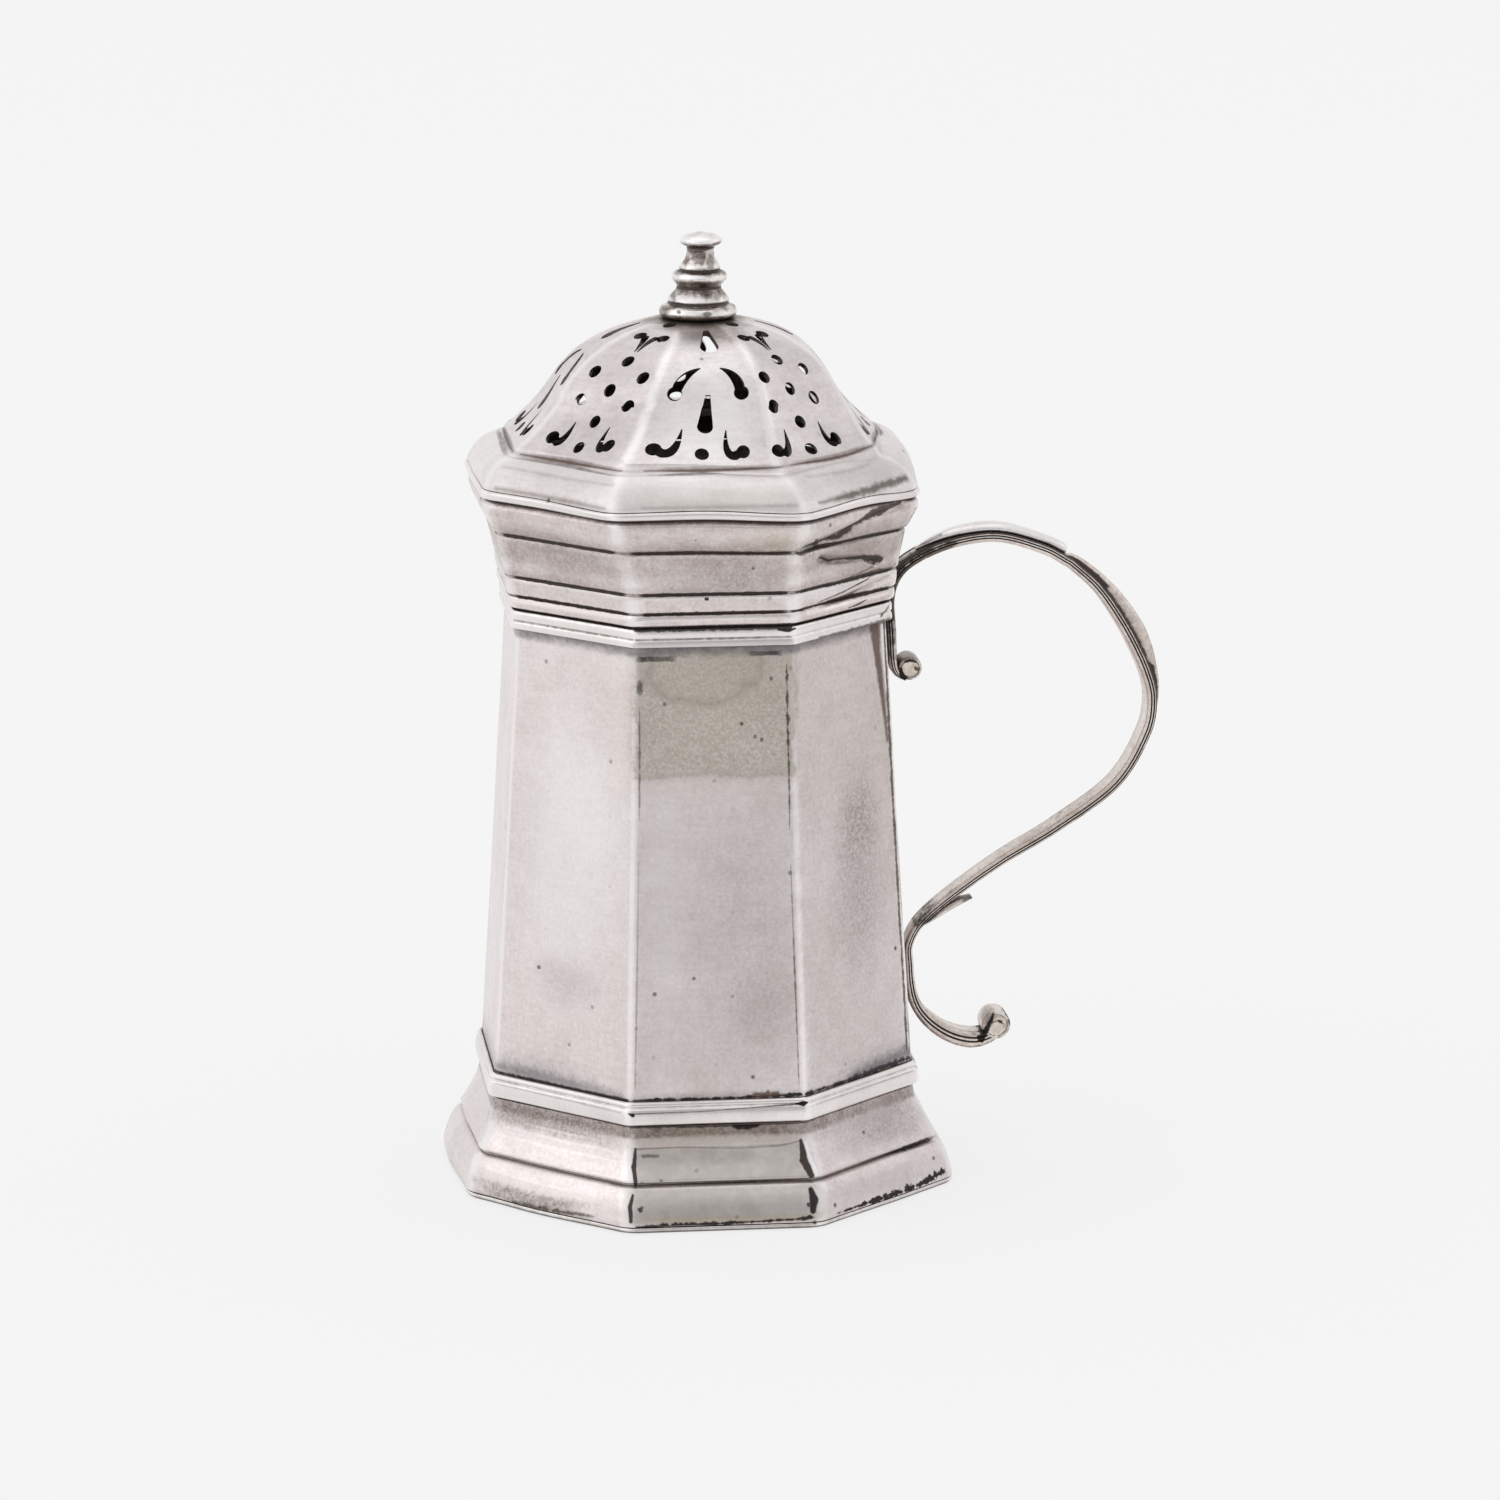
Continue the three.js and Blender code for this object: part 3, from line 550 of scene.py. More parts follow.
class Graph:
    """A node tree, with short ways to add and join its nodes."""

    def __init__(self, tree: bpy.types.NodeTree) -> None:
        """Takes the tree that the nodes go into."""
        self.tree = tree

    def add(self, kind: str, inputs: dict[str | int, object] | None = None,
            **settings: object) -> bpy.types.Node:
        """Adds a node, sets its properties and fills its sockets.

        Args:
            kind: the node's type name.
            inputs: socket name or number with a value, or with a socket to link from.
            settings: properties of the node.

        Returns:
            The new node.
        """
        node = self.tree.nodes.new(kind)
        for key, value in settings.items():
            setattr(node, key, value)
        for key, value in (inputs or {}).items():
            if isinstance(value, bpy.types.NodeSocket):
                self.tree.links.new(value, node.inputs[key])
            else:
                node.inputs[key].default_value = value
        return node

    def maths(self, operation: str, *values: object, clamp: bool = False) -> bpy.types.NodeSocket:
        """Result of a Math node on up to three values or sockets."""
        node = self.add("ShaderNodeMath", dict(enumerate(values)), operation=operation, use_clamp=clamp)
        return node.outputs[0]

    # Product, difference, product with a third value added, quotient, and the larger of two values

    times = partialmethod(maths, "MULTIPLY")
    minus = partialmethod(maths, "SUBTRACT")
    times_plus = partialmethod(maths, "MULTIPLY_ADD")
    over = partialmethod(maths, "DIVIDE")
    larger = partialmethod(maths, "MAXIMUM")

    def step(self, value: object, low: float, high: float) -> bpy.types.NodeSocket:
        """Smooth step of a value between two limits; it needs no clamp of its own."""
        node = self.add("ShaderNodeMapRange", {0: value, 1: low, 2: high},
                        interpolation_type="SMOOTHSTEP", clamp=False)
        return node.outputs[0]

    def cover(self, share: object, below: object, colour: Colour) -> bpy.types.NodeSocket:
        """Lays a colour over a colour socket by a share."""
        node = self.add("ShaderNodeMix", {0: share, 6: below, 7: (*colour, 1)}, data_type="RGBA")
        return node.outputs[2]

    def noise(self, place: object, size: float, detail: float, rough: float) -> bpy.types.NodeSocket:
        """Noise of a feature size in millimetres, read at a place in metres."""
        inputs = {"Vector": place, "Scale": 1 / (size * METRES), "Detail": detail, "Roughness": rough}
        return self.add("ShaderNodeTexNoise", inputs).outputs[0]


Given = dict[str, bpy.types.NodeSocket]


class EffectName(Enum):
    """Shared effects, each one node group."""

    PATCH = "ragged_patch"
    STROKE = "drawn_stroke"
    CREVICE = "crevice_dirt"
    CLOUD = "tarnish_cloud"
    SPECKS = "dark_specks"
    RUBBED = "fine_scratches"
    STREAKS = "level_streaks"


def place_in(graph: Graph, given: Given) -> tuple[object, object, object]:
    """Place in a mark's own directions: along it, across it and out of the panel, in millimetres."""
    across, height, out = [graph.minus(given[side], given[f"From {side}"])
                           for side in ("Across", "Height", "Out")]
    along = graph.times_plus(across, given["Level"], graph.times(height, given["Rise"]))
    aside = graph.minus(graph.times(height, given["Level"]), graph.times(across, given["Rise"]))
    return along, aside, out


def patch_effect(graph: Graph, given: Given) -> Given:
    """Ragged-edged patch round its middle, with its rim."""
    wander = graph.add("ShaderNodeTexNoise", {
        "Vector": given["Surface"], "Scale": graph.over(1 / METRES, given["Coarse"]), "Detail": 5.0,
        "Roughness": 0.62}).outputs[0]
    blotch = graph.step(graph.noise(given["Surface"], 1.9, 4.0, 0.65), 0.36, 0.64)
    grain = graph.noise(given["Surface"], 0.4, 3.0, 0.7)
    sides = [graph.maths("ABSOLUTE", graph.over(side, given[half]))
             for side, half in zip(place_in(graph, given), ("Wide", "Tall", "Deep"))]
    square = graph.larger(graph.larger(sides[0], sides[1]), sides[2])
    squares = graph.times_plus(sides[1], sides[1], graph.times(sides[0], sides[0]))
    round_one = graph.maths("SQRT", graph.times_plus(sides[2], sides[2], squares))
    far = graph.maths("ADD", round_one, graph.times(graph.minus(square, round_one), given["Square"]))
    shaken = graph.times_plus(graph.minus(wander, 0.5), given["Ragged"], far)
    inside = graph.over(graph.minus(1.0, shaken), given["Soft"])
    mask = graph.step(inside, -0.5, 0.5)
    thin = graph.step(graph.times_plus(blotch, 0.12, grain), 0.46, 0.68)
    kept = graph.minus(1.0, graph.times(given["Speckle"], thin))
    kept = graph.times(kept, graph.times_plus(blotch, 0.3, 0.7))
    line = graph.larger(graph.minus(1.0, graph.maths("ABSOLUTE", inside)), 0.0)
    rim = graph.times(graph.maths("POWER", line, 2.0), graph.step(grain, 0.38, 0.6))
    return {"Mask": graph.times(mask, kept), "Rim": rim}


def stroke_effect(graph: Graph, given: Given) -> Given:
    """One straight length of a drawn line."""
    along, aside, out = place_in(graph, given)
    share = graph.maths("MINIMUM", graph.larger(graph.over(along, given["Length"]), 0.0), 1.0)
    beyond = graph.minus(along, graph.times(share, given["Length"]))
    far = graph.maths("SQRT", graph.times_plus(aside, aside, graph.times(beyond, beyond)))
    wide = graph.times_plus(share, graph.minus(given["To"], given["From"]), given["From"])
    inside = graph.times_plus(wide, given["Wander"], graph.minus(graph.times(wide, 0.5), far))
    inside = graph.over(inside, given["Soft"])
    near = graph.maths("LESS_THAN", graph.maths("ABSOLUTE", out), given["Deep"])
    return {"Mask": graph.times(graph.step(inside, -0.5, 0.5), near)}


def crevice_effect(graph: Graph, given: Given) -> Given:
    """Dirt that gathers where surfaces meet, and a wider film of dirt and painted shade round it."""
    broken = graph.minus(graph.noise(given["Surface"], 1.4, 5.0, 0.65), 0.5)
    results = {}
    for label, reach, shake, low, high in (("Mask", 1.0, 0.45, 0.2, 0.62), ("Film", 3.2, 0.7, 0.05, 0.6)):
        far = graph.times(given["Reach"], reach)
        shut = graph.add("ShaderNodeAmbientOcclusion", {"Distance": far}, samples=8).outputs["AO"]
        shaken = graph.times_plus(broken, shake, graph.minus(1.0, shut))
        results[label] = graph.times(graph.step(shaken, low, high), given["Amount"])
    return results


def cloud_effect(graph: Graph, given: Given) -> Given:
    """Wide soft clouds and a finer bloom, as on silver that is rubbed and not cleaned."""
    wide = graph.step(graph.noise(given["Surface"], 16.0, 3.0, 0.5), 0.34, 0.68)
    fine = graph.step(graph.noise(given["Surface"], 3.0, 4.0, 0.6), 0.38, 0.66)
    return {"Mask": graph.maths("ADD", wide, graph.times(graph.minus(fine, wide), given["Finer"]))}


def specks_effect(graph: Graph, given: Given) -> Given:
    """Scattered pin pricks and pits."""
    cells = graph.add("ShaderNodeTexVoronoi", {
        "Vector": given["Surface"], "Scale": 420.0, "Randomness": 1.0})
    near = graph.step(cells.outputs["Distance"], 0.16, 0.07)
    tone = graph.add("ShaderNodeSeparateColor", {0: cells.outputs["Color"]}).outputs[0]
    chosen = graph.maths("LESS_THAN", tone, given["Density"])
    area = graph.step(graph.noise(given["Surface"], 9.0, 2.0, 0.5), 0.42, 0.62)
    return {"Mask": graph.times(graph.times(near, chosen), area)}


def rubbed_effect(graph: Graph, given: Given) -> Given:
    """Fine crossing scratches and an orange-peel swell, as a height."""
    heights = []
    for turn, stretch in ((0.35, 14.0), (-0.9, 18.0)):
        laid = graph.add("ShaderNodeMapping", {
            0: given["Surface"], "Rotation": (turn, turn / 2, turn), "Scale": (1.0, 1.0, stretch)})
        heights.append(graph.noise(laid.outputs[0], 1.6, 4.0, 0.7))
    swell = graph.noise(given["Surface"], 4.5, 2.0, 0.5)
    lines = graph.times(graph.maths("ADD", heights[0], heights[1]), given["Across"])
    return {"Height": graph.times_plus(swell, 1.5, lines)}


def streaks_effect(graph: Graph, given: Given) -> Given:
    """Thin level and upright streaks, left where the sheet was wiped."""
    masks = []
    for stretch, size, rough in (((1.0, 1.0, 9.0), 4.5, 0.68), ((5.0, 5.0, 1.0), 2.6, 0.7)):
        laid = graph.add("ShaderNodeMapping", {0: given["Surface"], "Scale": stretch})
        masks.append(graph.step(graph.noise(laid.outputs[0], size, 5.0, rough), 0.4, 0.64))
    return {"Mask": graph.times_plus(masks[1], 0.45, graph.times(masks[0], 0.7))}


# For each effect its builder and its inputs with their start values, None for a place in metres

PLACE_INPUTS = {"Across": 0.0, "Height": 0.0, "Out": 0.0, "From Across": 0.0, "From Height": 0.0,
                "From Out": 0.0, "Level": 1.0, "Rise": 0.0}
EFFECTS: dict[EffectName, tuple[Callable[[Graph, Given], Given], dict[str, float | None]]] = {
    EffectName.PATCH: (patch_effect, {
        **PLACE_INPUTS, "Surface": None, "Wide": 1.0, "Tall": 1.0, "Deep": 9.0, "Square": 0.0,
        "Ragged": 0.3, "Soft": 0.3, "Speckle": 0.0, "Coarse": 2.6}),
    EffectName.STROKE: (stroke_effect, {
        **PLACE_INPUTS, "Length": 1.0, "From": 0.3, "To": 0.3, "Soft": 0.1, "Deep": 4.0, "Wander": 0.0}),
    EffectName.CREVICE: (crevice_effect, {"Surface": None, "Reach": 0.0015, "Amount": 1.0}),
    EffectName.CLOUD: (cloud_effect, {"Surface": None, "Finer": 0.35}),
    EffectName.SPECKS: (specks_effect, {"Surface": None, "Density": 0.3}),
    EffectName.RUBBED: (rubbed_effect, {"Surface": None, "Across": 0.5}),
    EffectName.STREAKS: (streaks_effect, {"Surface": None}),
}


class Effects:
    """The shared effects, built once and placed in each material with its own values."""

    def __init__(self) -> None:
        """Builds every group."""
        self.trees = {name: self.build(name) for name in EffectName}

    @staticmethod
    def build(name: EffectName) -> bpy.types.NodeTree:
        """Builds one effect as a node group whose outputs are all single values."""
        make, inputs = EFFECTS[name]
        tree = bpy.data.node_groups.new(name.value, "ShaderNodeTree")
        for label, value in inputs.items():
            kind = "NodeSocketVector" if value is None else "NodeSocketFloat"
            socket = tree.interface.new_socket(label, in_out="INPUT", socket_type=kind)
            if value is not None:
                socket.default_value = value
        graph = Graph(tree)
        start = graph.add("NodeGroupInput")
        results = make(graph, {label: start.outputs[label] for label in inputs})
        for label in results:
            tree.interface.new_socket(label, in_out="OUTPUT", socket_type="NodeSocketFloat")
        graph.add("NodeGroupOutput", results)
        return tree

    def place(self, graph: Graph, name: EffectName, inputs: dict[str, object]) -> Given:
        """Puts a group into a material's graph and gives its outputs by name."""
        node = graph.add("ShaderNodeGroup", inputs, node_tree=self.trees[name])
        return {socket.name: socket for socket in node.outputs}


class Places:
    """Across, height and outward distance on each panel, as sockets in millimetres."""

    def __init__(self, graph: Graph, surface: object, axis: Vector) -> None:
        """Splits the place on the piece, measured from the foot of the axis."""
        split = graph.add("ShaderNodeSeparateXYZ", {0: surface})
        self.graph = graph
        self.east = graph.times_plus(split.outputs[0], 1 / METRES, -axis.x / METRES)
        self.north = graph.times_plus(split.outputs[1], 1 / METRES, -axis.y / METRES)
        self.height = graph.times(split.outputs[2], 1 / METRES)
        self.known: dict[float, list] = {}

    def at(self, panel: float, across: float, height: float, out: float, tilt: float) -> dict[str, object]:
        """Inputs that place a mark on a panel.

        Args:
            panel: the panel's angle.
            across: where the mark's zero is across the panel.
            height: its height.
            out: its distance from the axis.
            tilt: how far the mark's length rises, in radians.

        Returns:
            Values and sockets by input name.
        """
        if panel not in self.known:
            turn = math.radians(panel)
            self.known[panel] = [
                self.graph.times_plus(self.north, north, self.graph.times(self.east, east))
                for east, north in ((-math.sin(turn), math.cos(turn)), (math.cos(turn), math.sin(turn)))
            ]
        sockets = self.known[panel]
        return {"Across": sockets[0], "Height": self.height, "Out": sockets[1], "From Across": across,
                "From Height": height, "From Out": out, "Level": math.cos(tilt), "Rise": math.sin(tilt)}


# Finishes


class Outline(Enum):
    """Shape of a stain before its edge turns ragged."""

    ROUND = 0.0
    SQUARE = 1.0


@dataclass(frozen=True)
class Patch:
    """A stain, mark, painted shade or painted light area on one panel, by its middle and its half sizes."""

    panel: float
    across: float
    height: float
    wide: float
    tall: float
    colour: Colour
    strength: float = 0.8
    ragged: float = 0.5
    soft: float = 0.4
    speckle: float = 0.0
    coarse: float = 2.6
    rim: float = 0.0
    rim_colour: Colour = (0.16, 0.13, 0.1)
    out: float = 27.0
    deep: float = 9.0
    outline: Outline = Outline.ROUND


@dataclass(frozen=True)
class Stroke:
    """A drawn line of dirt, painted shade or painted light on one panel: across, height and width of each of
    its points.
    """

    panel: float
    out: float
    path: tuple[Row, ...]
    colour: Colour
    strength: float = 0.95
    soft: float = 0.18
    ragged: float = 1.0
    deep: float = 4.0


Mark = Patch | Stroke


def fresh_graph(owner: bpy.types.Material | bpy.types.World) -> Graph:
    """Empties the node tree of a material or world and gives its graph."""
    owner.use_nodes = True
    owner.node_tree.nodes.clear()
    return Graph(owner.node_tree)


def lay_patches(graph: Graph, effects: Effects, places: Places, marks: Sequence[Mark],
                surface: object, colour: object) -> object:
    """Lays the patches over a colour.

    Args:
        graph: the material's graph.
        effects: the shared node groups.
        places: the places on the panels.
        marks: the piece's marks, whose patches are laid first to last.
        surface: socket of the place on the piece.
        colour: socket of the colour below.

    Returns:
        The socket of the new colour.
    """
    for patch in [mark for mark in marks if isinstance(mark, Patch)]:
        masks = effects.place(graph, EffectName.PATCH, {
            **places.at(patch.panel, patch.across, patch.height, patch.out, 0.0),
            "Surface": surface, "Wide": patch.wide, "Tall": patch.tall, "Deep": patch.deep,
            "Square": patch.outline.value, "Ragged": patch.ragged, "Soft": patch.soft,
            "Speckle": patch.speckle, "Coarse": patch.coarse})
        colour = graph.cover(graph.times(masks["Mask"], patch.strength), colour, patch.colour)
        if patch.rim:
            colour = graph.cover(graph.times(masks["Rim"], patch.rim), colour, patch.rim_colour)
    return colour


def draw_strokes(graph: Graph, effects: Effects, places: Places, marks: Sequence[Mark],
                 broken: object, colour: object) -> object:
    """Draws the strokes over a colour.

    Args:
        graph: the material's graph.
        effects: the shared node groups.
        places: the places on the panels.
        marks: the piece's marks, whose strokes are drawn first to last.
        broken: socket of a fine noise round zero, which frays the lines.
        colour: socket of the colour below.

    Returns:
        The socket of the new colour.
    """
    for stroke in [mark for mark in marks if isinstance(mark, Stroke)]:
        fray = graph.times(broken, stroke.ragged)
        mask: object = 0.0
        for start, end in zip(stroke.path, stroke.path[1:]):
            tilt = math.atan2(end[1] - start[1], end[0] - start[0])
            part = effects.place(graph, EffectName.STROKE, {
                **places.at(stroke.panel, start[0], start[1], stroke.out, tilt),
                "Length": math.dist(start[:2], end[:2]), "From": start[2], "To": end[2],
                "Soft": stroke.soft, "Deep": stroke.deep, "Wander": fray})
            mask = graph.larger(mask, part["Mask"])
        colour = graph.cover(graph.times(mask, stroke.strength), colour, stroke.colour)
    return colour


@dataclass(frozen=True)
class SilverFinish:
    """Old silver: a light metal, a greyer cloud over it, dark dirt in its hollows with a wider film of dirt
    and painted shade, and rubbed corners with painted highlight lines.
    """

    label: str
    slot: str
    light: Colour = (0.83, 0.765, 0.755)
    cloud: Colour = (0.66, 0.59, 0.575)
    polish_and_highlight: Colour = (0.95, 0.93, 0.925)
    film: Colour = (0.3, 0.235, 0.205)
    dirt: Colour = (0.055, 0.04, 0.035)
    film_and_shade_share: float = 0.6
    cloud_share: float = 0.6
    rough: float = 0.24
    cloud_rough: float = 0.1
    crevice: float = 0.85
    reach: float = 1.5
    specks: float = 0.3
    scratches: float = 0.5
    wear_and_highlight: float = 0.6
    streaks: float = 0.25
    grime: float = 1.0
    mottle: float = 1.7
    finer: float = 0.35
    speck_share: float = 0.85
    stain_dullness: float = 1.1
    dull_rough: float = 0.22
    dirt_metal_loss: float = 0.55
    dirt_depth: float = 1.2
    bump: float = 0.35
    bump_depth: float = 0.06

    def material(self, name: str, effects: Effects, axis: Vector,
                 marks: Sequence[Mark]) -> bpy.types.Material:
        """Builds the finish for one piece.

        Args:
            name: name of the material.
            effects: the shared node groups.
            axis: any point of the body's axis in metres.
            marks: stains and strokes of this piece.

        Returns:
            The material.
        """
        material = bpy.data.materials.new(name)
        graph = fresh_graph(material)
        surface = graph.add("ShaderNodeTexCoord").outputs["Object"]
        cloud = effects.place(graph, EffectName.CLOUD, {"Surface": surface, "Finer": self.finer})["Mask"]
        hollows = effects.place(graph, EffectName.CREVICE, {
            "Surface": surface, "Reach": self.reach * METRES, "Amount": self.crevice})
        specks = effects.place(graph, EffectName.SPECKS, {
            "Surface": surface, "Density": self.specks})["Mask"]
        height = effects.place(graph, EffectName.RUBBED, {
            "Surface": surface, "Across": self.scratches})["Height"]
        broken = graph.minus(graph.noise(surface, 0.9, 4.0, 0.65), 0.5)
        # Rubbed corners and painted highlight lines, turned towards the light polish colour.
        wear_and_highlight = graph.add("ShaderNodeAttribute", attribute_name="wear_and_highlight").outputs["Fac"]
        worn = graph.times(wear_and_highlight, graph.times_plus(broken, self.wear_and_highlight, self.wear_and_highlight), clamp=True)
        grime = graph.add("ShaderNodeAttribute", attribute_name="grime").outputs["Fac"]
        soiled = graph.step(graph.times_plus(broken, 0.9, grime), 0.3, 0.75)
        streak = effects.place(graph, EffectName.STREAKS, {"Surface": surface})["Mask"]
        veil = graph.times_plus(streak, self.streaks, graph.times(cloud, self.cloud_share))
        grain = graph.minus(graph.noise(surface, 0.5, 3.0, 0.7), 0.5)
        veil = graph.minus(graph.times_plus(grain, self.mottle, veil), worn, clamp=True)
        colour = graph.cover(veil, (*self.light, 1), self.cloud)
        # A wider film of dirt and painted shade round the hollows.
        colour = graph.cover(graph.times(hollows["Film"], self.film_and_shade_share), colour, self.film)
        clean = graph.cover(worn, colour, self.polish_and_highlight)
        places = Places(graph, surface, axis)
        colour = lay_patches(graph, effects, places, marks, surface, clean)
        colour = draw_strokes(graph, effects, places, marks, broken, colour)
        change = graph.add("ShaderNodeVectorMath", {0: clean, 1: colour},
                           operation="DISTANCE").outputs["Value"]
        dark = graph.larger(hollows["Mask"], graph.times(specks, self.speck_share))
        dark = graph.larger(dark, graph.times(soiled, self.grime))
        colour = graph.cover(dark, colour, self.dirt)
        dull = graph.larger(dark, graph.times(change, self.stain_dullness), clamp=True)
        rough = graph.times_plus(veil, self.cloud_rough, self.rough)
        rough = graph.times_plus(dull, self.dull_rough, rough, clamp=True)
        metal = graph.times_plus(dark, -self.dirt_metal_loss, 1.0)
        level = graph.minus(height, graph.times(dark, self.dirt_depth))
        bump = graph.add("ShaderNodeBump", {
            "Strength": self.bump, "Distance": self.bump_depth * METRES, "Height": level})
        shader = graph.add("ShaderNodeBsdfPrincipled", {
            "Base Color": colour, "Roughness": rough, "Metallic": metal, "Normal": bump.outputs[0]})
        graph.add("ShaderNodeOutputMaterial", {0: shader.outputs[0]})
        return material


@dataclass(frozen=True)
class Finishes:
    """The finishes; smoky and swaged are satin, raised, plain and turned bright, and rubbed is worn."""

    satin: SilverFinish = SilverFinish("satin", "satin_silver")
    smoky: SilverFinish = SilverFinish(
        "smoky", "satin_silver", light=(0.77, 0.7, 0.685), cloud=(0.55, 0.475, 0.455), cloud_share=0.7,
        wear_and_highlight=0.5)
    swaged: SilverFinish = SilverFinish("swaged", "satin_silver", crevice=0.55, reach=0.9)
    bright: SilverFinish = SilverFinish(
        "bright", "bright_silver", light=(0.86, 0.82, 0.81), cloud=(0.7, 0.65, 0.635),
        cloud_share=0.6, rough=0.18, specks=0.15, streaks=0.15, reach=1.1, mottle=0.6)
    raised: SilverFinish = SilverFinish(
        "raised", "bright_silver", light=(0.81, 0.76, 0.75), cloud=(0.57, 0.515, 0.51),
        cloud_share=0.65, rough=0.23, cloud_rough=0.14, specks=0.12, wear_and_highlight=0.45, streaks=0.3, reach=1.0,
        mottle=0.9)
    plain: SilverFinish = SilverFinish(
        "plain", "bright_silver", light=(0.86, 0.825, 0.812), cloud=(0.7, 0.655, 0.64),
        cloud_share=0.6, rough=0.36, specks=0.12, wear_and_highlight=0.5, streaks=0.3, reach=1.0, mottle=0.9)
    # The turned finish's near-black cloud is tarnish and painted dark reflections on the finial together.
    turned: SilverFinish = SilverFinish(
        "turned", "bright_silver", light=(0.76, 0.7, 0.67), cloud=(0.12, 0.085, 0.07),
        cloud_share=1.0, finer=0.9, rough=0.1, film=(0.16, 0.11, 0.085), film_and_shade_share=0.95, crevice=1.0,
        reach=1.3, specks=0.4, scratches=0.8, streaks=0.1)
    rubbed: SilverFinish = SilverFinish(
        "rubbed", "worn_silver", light=(0.88, 0.86, 0.85), cloud=(0.72, 0.68, 0.665),
        cloud_share=0.6, rough=0.2, specks=0.15, streaks=0.15, reach=0.9)
    worn: SilverFinish = SilverFinish(
        "worn", "worn_silver", light=(0.8, 0.73, 0.69), cloud=(0.5, 0.42, 0.37),
        cloud_share=0.7, rough=0.22, cloud_rough=0.14, specks=0.5, reach=1.1, film_and_shade_share=0.8)
    # The inside finish is tarnished silver darkened further as painted shade of the closed hollow seen
    # through the piercings.
    inside: SilverFinish = SilverFinish(
        "inside", "inside_silver", light=(0.5, 0.46, 0.43), cloud=(0.33, 0.29, 0.27),
        cloud_share=0.8, rough=0.45, cloud_rough=0.1, specks=0.5, scratches=0.3)


@dataclass
class Workshop:
    """What every sub-assembly needs: the axis, the effects and the finishes."""

    axis: Vector
    effects: Effects
    finishes: Finishes

    def dress(self, piece: bpy.types.Object, finish: SilverFinish, marks: Sequence[Mark] = (),
              inside_from: float | None = None) -> None:
        """Gives a piece its finish, and its inner faces a duller one if asked.

        Args:
            piece: the piece.
            finish: its finish.
            marks: its stains and strokes.
            inside_from: height on the axis that the inner faces look at, in millimetres, or None.
        """
        looks = [(finish, marks)]
        if inside_from is not None:
            looks.append((self.finishes.inside, ()))
        piece.data.materials.clear()
        for look, own in looks:
            name = f"{look.label}_{piece.name}"
            piece.data.materials.append(look.material(name, self.effects, self.axis, own))
        if inside_from is not None:
            line_inside(piece, self.axis + Vector((0, 0, inside_from * METRES)))

    def hand_in(self, piece: bpy.types.Object, node: str, body: str, degrees: float = 40.0) -> None:
        """Shades a piece, puts it in its node's place, rides it on its body and reports it."""
        shade(piece, degrees)
        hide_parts(node)
        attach(piece, body)
        log.info("%s stands for %s on %s", piece.name, node, body)


DIRTY: Colour = (0.05, 0.038, 0.032)
UMBER: Colour = (0.12, 0.075, 0.055)
OLIVE: Colour = (0.4, 0.37, 0.295)
DARK_REFLECTION: Colour = (0.5, 0.475, 0.44)
BLUE_GREY: Colour = (0.1, 0.09, 0.11)
LEAD: Colour = (0.27, 0.23, 0.225)
# Painted highlights and painted light areas.
PAINTED_LIGHT: Colour = (0.95, 0.945, 0.94)
BLACK: Colour = (0.018, 0.014, 0.013)
PEAT: Colour = (0.09, 0.07, 0.05)
OCHRE: Colour = (0.5, 0.42, 0.31)
CREAM: Colour = (0.74, 0.66, 0.56)
MAUVE: Colour = (0.34, 0.29, 0.305)
SQUARE = Outline.SQUARE


def crease_shade(height: float, wide: float, tall: float, out: float) -> list[Patch]:
    """A soft dark line along each panel that fades before the corners."""
    return [Patch(panel, 0, height, wide, tall, LEAD, 0.9, 0.2, 0.8, out=out) for panel in PANEL_ANGLES]
